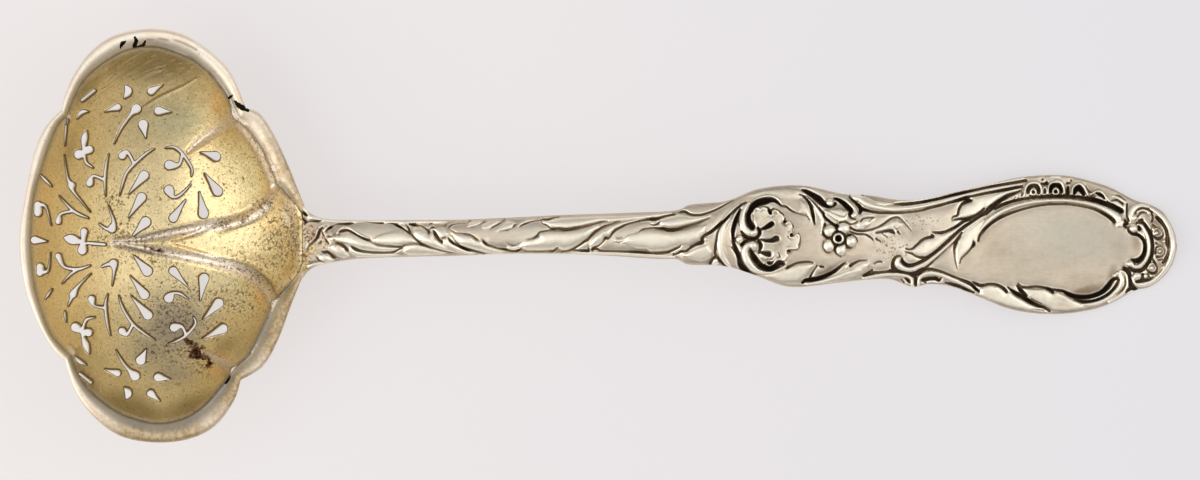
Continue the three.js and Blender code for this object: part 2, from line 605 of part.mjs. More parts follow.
function ridgeSolid(path, i) {
  const radius = RIDGE_RADIUS * RIDGE_RADIUS_SHARES[i];
  const points = path.map(([x, y]) => (
    new THREE.Vector3(placeX(x), placeY(y), frontHeight(x, y) + RIDGE_LIFT)
  ));
  return solidFrom(barGeometry(points, points.map(() => radius), RIDGE_SIDES));
}

// A raised drop, leaf or petal: a flattened ball that lies on the front.
function swellSolid([x, y, halfLength, halfWidth, degrees], height) {
  const ball = new THREE.SphereGeometry(1, 7, 4);
  ball.scale(halfLength * PX_LENGTH, halfWidth * PX_LENGTH, height);
  ball.rotateZ(THREE.MathUtils.degToRad(degrees));
  const rise = frontHeight(x + halfLength, y) - frontHeight(x - halfLength, y);
  ball.rotateY(-Math.atan2(rise, 2 * halfLength * PX_LENGTH));
  ball.translate(placeX(x), placeY(y), frontHeight(x, y));
  return solidFrom(ball);
}

function ringOfSwells([x, y], reach, count, firstDeg, spanDeg, [halfLength, halfWidth], height) {
  return Array.from({ length: count }, (_, i) => {
    const degrees = firstDeg + (i * spanDeg) / (count - (spanDeg < 360 ? 1 : 0));
    const turn = THREE.MathUtils.degToRad(degrees);
    const place = [x + reach * Math.cos(turn), y - reach * Math.sin(turn)];
    return swellSolid([...place, halfLength, halfWidth, degrees], height);
  });
}

function handleSolid() {
  const rings = Array.from({ length: HANDLE_STEPS + 1 }, (_, i) => {
    const even = i / HANDLE_STEPS;
    return handleRing(THREE.MathUtils.lerp(HANDLE_START_PX, HANDLE_END_PX, Math.sin((even * Math.PI) / 2)));
  });
  const bar = solidFrom(skinGeometry(rings, false));
  const petal = [PETAL_RADIUS_PX, PETAL_RADIUS_PX];
  return wasm.Manifold.union([
    bar,
    ...RIDGE_PATHS_PX.map(ridgeSolid),
    ...LEAVES_PX.map((leaf) => swellSolid(leaf, LEAF_HEIGHT)),
    ...ringOfSwells(FLOWER_PX, PETAL_RING_PX, PETALS, PETAL_TURN_DEG, 360, petal, PETAL_HEIGHT),
    ...ringOfSwells(SHELL_PX, SHELL_LOBE_REACH_PX, SHELL_LOBES, SHELL_FIRST_DEG, SHELL_SPAN_DEG,
      SHELL_LOBE_PX, PETAL_HEIGHT),
    swellSolid([...FLOWER_PX, FLOWER_EYE_PX, FLOWER_EYE_PX, 0], PETAL_HEIGHT),
  ]);
}

// The spoon

function piece(name, solid, finish) {
  const mesh = new THREE.Mesh(geometryFrom(solid), new THREE.MeshStandardMaterial(finish));
  mesh.name = name;
  return mesh;
}

const spoon = new THREE.Group();
spoon.add(piece('bowl', bowlSolid(), GILT));
spoon.add(piece('rim_band', rimSolid(), SILVER));
spoon.add(piece('handle', handleSolid(), SILVER));

export default spoon;
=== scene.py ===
"""Looks of the sugar sifter spoon: a pierced, gilt and tarnished bowl, a soldered silver rim and a struck
silver handle, on a pale floor under a plain overhead light.

Outlines and places are in picture units (px), seen from straight above, x to the right and y down, as in the
CAD source. Other lengths are in millimetres until a mesh is made, which is in metres."""

import bpy
import numpy as np
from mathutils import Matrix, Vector
from mathutils.geometry import delaunay_2d_cdt


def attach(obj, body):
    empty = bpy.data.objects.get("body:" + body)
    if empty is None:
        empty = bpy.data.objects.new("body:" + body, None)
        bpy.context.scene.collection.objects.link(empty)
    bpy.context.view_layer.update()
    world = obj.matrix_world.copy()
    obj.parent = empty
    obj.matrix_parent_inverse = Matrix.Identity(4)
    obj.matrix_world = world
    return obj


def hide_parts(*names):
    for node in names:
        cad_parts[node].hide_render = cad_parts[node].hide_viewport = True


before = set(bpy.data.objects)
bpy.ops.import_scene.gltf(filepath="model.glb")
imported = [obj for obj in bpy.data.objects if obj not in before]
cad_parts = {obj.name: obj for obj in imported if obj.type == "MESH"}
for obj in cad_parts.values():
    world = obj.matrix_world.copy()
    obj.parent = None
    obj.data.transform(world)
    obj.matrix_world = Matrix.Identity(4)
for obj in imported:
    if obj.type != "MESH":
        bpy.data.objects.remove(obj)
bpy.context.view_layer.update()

MM = 0.001
TURN = 2 * np.pi
PX_LENGTH = 0.125
MIDDLE_PX = (599.24, 235.63)

# Bowl, as in the CAD source
SHEET = 0.8
# The sheet thins toward its holes, to this share of its thickness, over this reach.
HOLE_EDGE_SHARE = 0.5
HOLE_EDGE_REACH = 0.9
# How far a hole's wall stands out between its two edges, and how far from every hole an edge is the mouth's.
HOLE_ROUNDING = 0.05
CLEAR_OF_HOLES = 0.3
FAR_LIP_HEIGHT = 18.49
ROOT_LIP_HEIGHT = 9.6
SIDE_LIP_DROP = 0.6
WALL_FULLNESS = 1.9
WALL_REACH_SHARE = 0.85
LOWEST_PX = (167, 243)
RIM_DROP = 1.1
# Shares of that drop which are taken back at the handle's root and along the second lip.
ROOT_DROP_SAVING = 0.86
LIP_DROP_SAVING = 0.45
OUTER_LOBES_PX = [
    [(306, 212), (297, 190), (287, 165), (273, 135), (259, 114), (245, 108)],
    [(245, 108), (230, 73), (208, 50), (180, 33.6), (148, 29.2), (115, 35.6), (92, 51), (76, 72), (66, 94),
     (62, 110)],
    [(62, 110), (47, 126), (36, 150), (27, 193), (20.7, 238), (25, 282), (37, 318), (54, 349), (66, 361)],
    [(66, 361), (76, 391), (94, 416), (120, 435), (153, 441.9), (187, 439), (214, 426), (233, 401),
     (240, 380)],
    [(240, 380), (262, 366), (277, 340), (289, 308), (299, 283), (306, 268)],
]
INNER_LOBES_PX = [
    [(302, 224), (299.5, 211), (291, 200), (279, 186), (272.5, 173), (262, 150), (248, 130), (235, 118)],
    [(235, 118), (227, 98), (216, 81), (205, 69.5), (188, 58), (155, 47), (127, 50.5), (105, 62), (87, 77),
     (76, 94), (66.6, 115.8)],
    [(66.6, 115.8), (58, 125), (51, 141), (43, 165), (34, 200), (31, 240), (34, 280), (41, 308), (52, 335),
     (70.5, 355.7)],
    [(70.5, 355.7), (76, 370), (86, 386), (102, 401), (122, 414), (150, 422.5), (170, 422), (187, 417),
     (204, 405.5), (217, 391), (226, 380), (233, 369)],
    [(233, 369), (248, 355), (255, 342.5), (260.5, 331), (267, 316), (272, 304), (279, 295), (290, 283),
     (299.5, 268.5), (302, 256)],
]
# Where the rim flattens into the handle's root, and where the sheet stands up as a second lip, in radians.
ROOT_TURN = (-0.36, -0.2, 0.23, 0.4)
LIP_TURN = (0.42, 0.52, 0.95, 1.12)

# Piercing. A stroke is a row of (x, y, half width); strokes that meet make one hole.
STROKES_PX = [
    [(103, 244.5, 1.5), (86, 243, 1.5)],
    [(82.6, 231.6, 3.7), (82, 241, 2.2)],
    [(81, 250, 4.8), (82, 242, 2.2)],
    [(63, 237.5, 0.5), (70.5, 239.3, 4.8), (78, 241.5, 2.4)],
    [(36, 240, 4), (48, 241.3, 0.5)],
    [(110, 228.5, 4.3), (111.5, 221, 1.7), (106, 205, 0.6)],
    [(110, 228.5, 2.5), (104.7, 229, 1.5), (97, 223.5, 0.8)],
    [(152.3, 148.4, 0.8), (143.7, 153.7, 1.4), (132, 164, 1.6), (124.4, 173, 1.5), (120.6, 183, 1.3),
     (117.2, 195.6, 0.6)],
    [(132, 164, 1.5), (125.5, 152, 1.7), (120.6, 155.6, 4)],
    [(107, 153.7, 0.7), (104.5, 165, 1.4), (103, 180, 1.5), (103.5, 196, 0.6)],
    [(103, 180, 1.5), (92, 176, 1.4), (88.4, 183, 3.8)],
    [(71, 185.5, 3.7), (73, 192, 1.5), (88.8, 212, 0.6)],
    [(71, 185.5, 2.5), (67, 177, 1.2), (64, 155, 0.6)],
    [(67.5, 119, 0.6), (66, 131, 1.3), (64.8, 146, 0.6)],
    [(87, 218, 0.7), (72.5, 211, 1.5), (58.6, 195.6, 0.6)],
    [(72.5, 211, 1.4), (60.5, 214, 1.5), (58, 221.5, 3.1)],
    [(78.3, 154.6, 4.8), (83.5, 153, 2.5), (88.4, 149.8, 4.2)],
    [(86.4, 130.6, 0.5), (84, 138.5, 3.3), (83, 148, 1.8), (83.5, 153.5, 2)],
    [(83.5, 154, 1.6), (85, 162.5, 1.4), (91.7, 167.6, 0.8)],
    [(124.5, 86, 0.8), (127.5, 91.8, 3.8), (123.3, 98.4, 0.8)],
    [(135, 109, 5), (129.7, 114.7, 1.9), (120, 128, 1.4), (112.4, 143.6, 0.7)],
    [(82.6, 100.8, 1.7), (94.6, 91.2, 1.7)],
    [(77, 119, 0.7), (82, 112.8, 2.2), (88.4, 111.8, 0.7)],
    [(163, 147.7, 0.7), (172, 147.2, 1.4), (180, 153.6, 1.6), (189, 167.7, 1.3), (189, 176, 0.7)],
    [(180, 154, 1.6), (176.5, 164.5, 1.7), (167, 165, 5)],
    [(166.4, 190, 5), (170.5, 197, 1.7), (178, 194.5, 1.4), (188.5, 184, 0.6)],
    [(41.3, 175, 0.7), (46.5, 180.5, 1.5), (52, 186.4, 0.8)],
    [(39, 205, 3.6), (39, 213, 3.8)],
    [(39, 206, 2), (46, 206.5, 1.4), (51, 225.4, 0.6)],
    [(111.4, 263.4, 4.3), (112, 271, 1.7), (110, 286, 0.6)],
    [(111.4, 263.4, 2.5), (105, 264.5, 1.5), (99.4, 267, 0.8)],
    [(116.7, 295.6, 0.6), (119.5, 305, 1.3), (123.5, 313, 1.5), (131, 324, 1.6), (141.7, 332.7, 1.4),
     (153.3, 340.4, 0.8)],
    [(131, 324, 1.5), (125.5, 334, 1.7), (120.6, 331, 4)],
    [(106, 294, 0.6), (103.8, 305, 1.5), (106, 324, 1.4), (109, 335.6, 0.7)],
    [(104, 308, 1.5), (93, 305.5, 1.4), (90.3, 299, 3.8)],
    [(72.5, 294, 3.7), (77.3, 286, 1.5), (89.3, 273.5, 0.6)],
    [(72.5, 294, 2.4), (69.6, 301, 1.3), (67.5, 306, 0.7)],
    [(64.6, 311, 0.7), (65, 315, 1.4), (66, 322, 0.6)],
    [(88.8, 265.3, 0.7), (77, 269, 1.5), (63.8, 266.7, 1.5), (58, 256, 3.1)],
    [(77.3, 269, 1.4), (69.6, 274.4, 1.3), (61.4, 283.6, 0.6)],
    [(75.4, 327, 4.8), (82, 331, 2.5), (87.9, 332.2, 4.2)],
    [(82, 331.5, 2), (82.8, 337, 1.8), (86, 345.5, 3.2), (89.3, 353.8, 0.5)],
    [(93.7, 317.3, 0.8), (85.5, 319.5, 1.4), (82, 330, 1.6)],
    [(124, 387, 0.8), (128, 392.3, 3.7), (126, 398, 0.8)],
    [(134, 375.5, 5), (128, 369.5, 1.9), (121, 361, 1.4), (114.8, 350, 0.7)],
    [(75.5, 356, 0.9), (80.5, 361, 2.1), (86.5, 364.6, 0.7)],
    [(81, 373, 1.7), (91.7, 381.7, 1.7)],
    [(191, 316.7, 0.7), (193, 324, 1.4), (184, 335, 1.6), (175.6, 340.3, 1.4), (166.4, 343.8, 0.7)],
    [(184, 335, 1.6), (179.5, 326.5, 1.7), (172, 327.4, 4.6)],
    [(166.4, 298, 5), (170.5, 293.3, 1.7), (177.7, 293.8, 1.4), (186, 299.5, 0.6)],
    [(41, 266.5, 3.6), (41, 272.5, 3.6)],
    [(41, 270.5, 2), (48, 270.6, 1.4), (50.4, 252.3, 0.6)],
    [(52.3, 288.8, 0.7), (49, 294, 1.4), (46, 298.5, 0.7)],
]
# Drops: (x, y, radius) of the round head and the (x, y) where the tail runs out.
DROPS_PX = [
    (143, 222, 5.3, 129.7, 236.4), (139, 197.5, 5, 126, 217.7), (141.7, 175.4, 5, 126.3, 194),
    (144.6, 271, 5.3, 130.7, 255), (142, 294.6, 5, 127.8, 276), (145.6, 315, 5, 128.8, 296),
    (150, 91.5, 4, 162, 84.6), (116.7, 107.5, 3.6, 103.8, 111.8), (157, 111, 4.5, 170, 112),
    (141.5, 124.5, 5, 144, 138), (150, 393, 4, 159.5, 401), (116.7, 372.6, 3.6, 104, 368.8),
    (157, 377, 4.5, 169.5, 379), (139.3, 360, 5, 144.6, 349), (170.5, 218, 4.4, 183, 199.5),
    (170.5, 271, 4.4, 185, 286.7), (213.6, 156.4, 5, 198, 152), (215, 191, 5.3, 202, 173),
    (200.8, 213.5, 5.3, 196.7, 191.5), (220.8, 328.5, 5, 200.3, 338.7), (216, 303.3, 5.3, 200.3, 319.7),
    (201.3, 278.5, 5.3, 197.7, 301),
]
DROP_NECK_SHARE = 0.5
DROP_TAIL_PX = 0.6

# Raised ribs inside the bowl: (x, y, half width), and the height of each kind.
MAIN_RIBS_PX = [
    [(113, 241, 2.6), (133, 239, 4), (155, 235.8, 4.8), (176, 231.6, 5.2), (200, 227.2, 5.6), (225, 222.6, 6),
     (240, 219.4, 6.2), (251, 214.4, 6.2), (262, 206, 6), (269.6, 196.6, 5.2), (273.4, 186, 4.2)],
    [(113, 244, 2.6), (133, 247.4, 4.2), (155, 251, 4.8), (176, 254.8, 5.2), (200, 258.8, 5.6),
     (215, 262.2, 6), (231, 267, 6.2), (245, 273.4, 6), (256.6, 281.4, 5.8), (265.6, 291, 5.2),
     (271, 302, 4.2)],
]
NOTCH_RIBS_PX = [
    [(186, 151, 2), (197, 141.4, 3.8), (211, 131.4, 5.4), (223, 123, 6.4), (232, 115.4, 6.8),
     (238, 110, 6.4)],
    [(200, 352, 2), (210, 357, 3.4), (222, 363, 4.8), (232, 369.4, 5.2)],
    [(70, 117, 2), (66.5, 124, 1.2)],
    [(74, 354, 2), (70, 346, 1.2)],
]
# Creases of (x, y, half width), sunk a little and drawn dark as painted shade.
CREASES_PX = [
    [(141, 107, 0.6), (150, 101, 1), (161.4, 94.7, 1.2), (181.8, 85.5, 1), (196, 77.3, 0.5)],
    [(130, 239, 0.4), (155, 231.6, 0.7), (176, 227.4, 0.7), (190, 224.4, 0.5)],
    [(215, 257.6, 0.5), (233, 260.8, 0.9), (249, 266.8, 1.1), (263, 276.8, 1.1), (270.4, 285.6, 1),
     (275.4, 295, 0.6)],
    [(215, 234, 0.4), (233, 228.8, 0.7), (251, 222.6, 0.8), (263, 214.8, 0.7), (271, 207, 0.5)],
    [(120, 246, 0.8), (138, 251, 1.2), (150, 254.6, 1)],
]
CREASE_DEPTH = 0.08
# Black tarnish in the seam of the rim, and thin lines along it.
SEAM_PX = [
    [(120.6, 48.5, 0.8), (122.5, 44, 1.7), (125.4, 42, 1)],
    [(134.5, 37.5, 0.9), (136.4, 41.4, 1.6), (134, 46.6, 1.4), (138, 48.5, 1.8), (143, 45.5, 1.4),
     (145.5, 41, 0.7)],
    [(226.5, 99.6, 0.8), (229.6, 97, 1.2), (232, 95.4, 0.6)],
    [(234, 101.4, 1), (238, 105.6, 2.2), (242, 108, 2.4), (247, 110.6, 1.4)],
    [(246.4, 105.6, 1), (245.4, 109.6, 1.3)],
    [(225, 382, 1.8), (228, 376.6, 1.8)], [(19.4, 233, 0.6), (19.4, 235, 0.6)],
]
SEAM_LINES_PX = [
    [(147, 39.6, 0.4), (161.4, 39.6, 0.5), (176.7, 41.6, 0.5), (192, 47.8, 0.5), (199, 53.9, 0.4)],
    [(187, 55, 0.4), (202, 65, 0.7), (208.4, 71.2, 0.7), (217.6, 81.4, 0.7), (226.7, 95.7, 0.6)],
    [(245, 126, 0.8), (252, 135, 0.9), (260, 147, 0.9), (271, 173, 0.9), (276, 185, 0.7)],
]
# Soft patches on the sheet: (x, y, half length, half width, turn in degrees, strength).
PATCHES_PX = {
    # The brown patches are tarnish and painted shade, darkest on the steep walls under the lip.
    "brown": [(122, 217, 14, 10, 0, 0.35), (299, 240, 5, 24, 0, 0.45), (150, 62, 75, 20, 0, 1),
              (88, 84, 30, 13, 48, 0.8), (84, 384, 34, 12, -52, 0.9), (130, 408, 42, 14, -18, 1),
              (185, 408, 34, 12, 22, 0.8), (225, 346, 16, 8, 30, 0.6), (70, 150, 8, 26, -12, 0.5),
              (140, 112, 24, 10, 20, 0.3)],
    "grey": [(172, 325, 32, 28, 0, 1), (150, 350, 28, 16, 0, 0.7), (172, 372, 26, 14, 0, 0.6),
             (186, 298, 18, 14, 0, 0.6), (118, 240, 10, 8, 0, 0.5), (215, 335, 16, 12, 0, 0.4),
             (240, 350, 14, 8, 30, 0.5), (165, 360, 32, 16, 0, 0.5)],
    # The bright patches are painted highlights, where the walls catch the lamps.
    "bright": [(248, 178, 20, 30, 8, 1), (228, 160, 20, 16, 0, 0.7), (246, 300, 20, 16, 20, 0.9),
               (232, 286, 22, 10, -20, 0.7), (246, 320, 14, 12, 0, 0.5), (262, 240, 32, 16, 0, 0.4),
               (220, 243, 30, 9, 0, 0.2), (200, 185, 24, 24, 0, 0.3)],
    "orange": [(217, 102, 9, 13, -20, 0.9), (257, 299, 7, 13, 30, 0.9), (214, 370, 14, 9, -20, 0.8),
               (44, 200, 10, 40, -8, 0.5), (74, 142, 12, 28, -10, 0.4), (276, 225, 18, 9, 0, 0.6),
               (44, 275, 10, 30, 8, 0.4), (268, 188, 5, 14, 10, 0.5), (292, 250, 12, 14, 0, 0.6),
               (60, 330, 10, 24, 20, 0.3)],
    "green": [(176, 118, 32, 20, 0, 0.9), (205, 100, 14, 10, 0, 0.4), (240, 335, 14, 12, 0, 0.5),
              (100, 360, 24, 14, 0, 0.4)],
    "speck": [(125, 240, 30, 20, 0, 1), (112, 200, 12, 14, 0, 1), (155, 235, 40, 9, 0, 0.7),
              (284, 240, 28, 32, 0, 1.3), (262, 206, 14, 8, 40, 1.6), (230, 222, 30, 6, 10, 1.3),
              (250, 276, 25, 7, -25, 1.3), (240, 170, 36, 40, 0, 0.55), (165, 262, 28, 12, 0, 0.7),
              (172, 315, 40, 35, 0, 0.85), (174, 352, 34, 18, 0, 0.85), (228, 300, 36, 24, 0, 0.8),
              (250, 262, 36, 18, 0, 0.9), (150, 200, 24, 20, 0, 0.4)],
    # The worn patches are worn gilding and a painted sheen, mostly where the sheet rolls over into the
    # handle's root.
    "worn": [(289, 203, 8, 5, -40, 1.5), (287.6, 214, 6, 12, 6, 1.6), (293, 238, 5, 13, 0, 0.9),
             (118, 243, 10, 6, 0, 0.8), (281, 192, 5, 6, 0, 0.9), (283, 284, 6, 14, -40, 0.6),
             (296, 254, 5, 14, -10, 0.5)],
    "streak": [(98, 84, 46, 18, 38, 1), (165, 68, 48, 16, 8, 0.8), (90, 380, 30, 12, -40, 0.4)],
    "crust": [(194, 352, 9, 8, 0, 1), (186, 342, 5, 5, 0, 1), (204, 362, 9, 6, -20, 0.9),
              (202, 374, 14, 9, 0, 0.4), (176, 384, 8, 3, -20, 0.4), (152, 249.6, 12, 2.6, -14, 0.75),
              (160, 237, 6, 1.5, 8, 0.6), (141, 247, 5, 2, -14, 0.6)],
}
MAIN_RIB_HEIGHT = 0.46
NOTCH_RIB_HEIGHT = 0.36
# The second lip: its height, how far inside the mouth it stands and its half width.
LIP_HEIGHT = 0.35
LIP_PLACE = 0.6
LIP_HALF_WIDTH = 0.42
# How far inside the mouth the second lip's wear and the wear of the edge fade, from full to none.
LIP_WEAR_FADE = (0.9, 1.5)
EDGE_WEAR_FADE = (0.05, 0.95)
# Rows across the rim's top: (share of its width from the outer edge, drop below the lip).
RIM_SECTION = [
    (0, 1.2), (0, 0.8), (0.03, 0.42), (0.09, 0.16), (0.18, 0.04), (0.3, 0), (0.42, 0.03), (0.52, 0.1),
    (0.62, 0.24), (0.72, 0.44), (0.82, 0.68), (0.91, 0.9),
]
ROOT_DROP = 0.14
# The inner part of those rows drops less along the second lip. The cove, painted grey as shade, lies between
# the two shares.
INNER_SHARE = 0.5
LIP_RIM_SAVING = 0.35
COVE_SHARES = (0.5, 0.85)
RIM_STEPS = 2160
# The sheet rolls over into the handle's root: how far from its edge, and how nearly level it ends.
ROLL_REACH = 2.1
ROLL_SHARE = 0.9

# Handle outline and section, as in the CAD source
UPPER_EDGE_PX = [
    (302, 204), (306, 210.6), (314, 216), (326, 219), (349, 220), (448, 219.8), (500, 218), (561, 215),
    (622, 213), (673, 210.6), (690, 204.5), (726, 200.7), (758, 188.8), (800, 185.3), (842, 193.7),
    (868, 195), (903, 200), (938, 195.8), (994, 182.5), (1022, 176.8), (1050, 174.7), (1071, 176),
    (1092, 181), (1112, 187.6), (1135, 199.6), (1149.6, 204), (1163, 211), (1171, 222), (1176.4, 234),
    (1178, 245),
]
LOWER_EDGE_PX = [
    (302, 278), (306, 272), (314, 266.6), (326, 263.4), (356, 258.8), (402, 257), (448, 256), (520, 254),
    (592, 255), (653, 258.8), (675, 259.3), (688, 264.5), (722, 266), (750, 273.7), (779, 285), (800, 287),
    (840, 282.5), (864, 280), (889, 279.3), (912, 287), (930, 284.2), (952, 287), (980, 297.5), (1008, 308.7),
    (1036, 313.6), (1064, 314), (1092, 310), (1112, 303.4), (1128, 294.7), (1138, 290), (1148, 288),
    (1158, 282.6), (1167, 274.4), (1174.2, 263), (1178, 250),
]
UNDERSIDE_SHARES = [
    (0, 1), (0.08, 1.06), (0.2, 1.14), (0.32, 1.13), (0.45, 0.98), (0.6, 0.7), (0.75, 0.36), (0.86, 0.1),
    (0.93, 0), (1, 0),
]
ROOT_THICKNESS = 2.3
SHANK_THICKNESS = 2.7
END_THICKNESS = 1.9
SHANK_FROM_SHARE = 0.06
THINNING_FROM_SHARE = 0.55
THIN_FROM_SHARE = 0.8
SIDE_SHARE = 0.55
ROOT_SIDE_SHARE = 0.96
ROOT_SIDE_FADE = 0.05

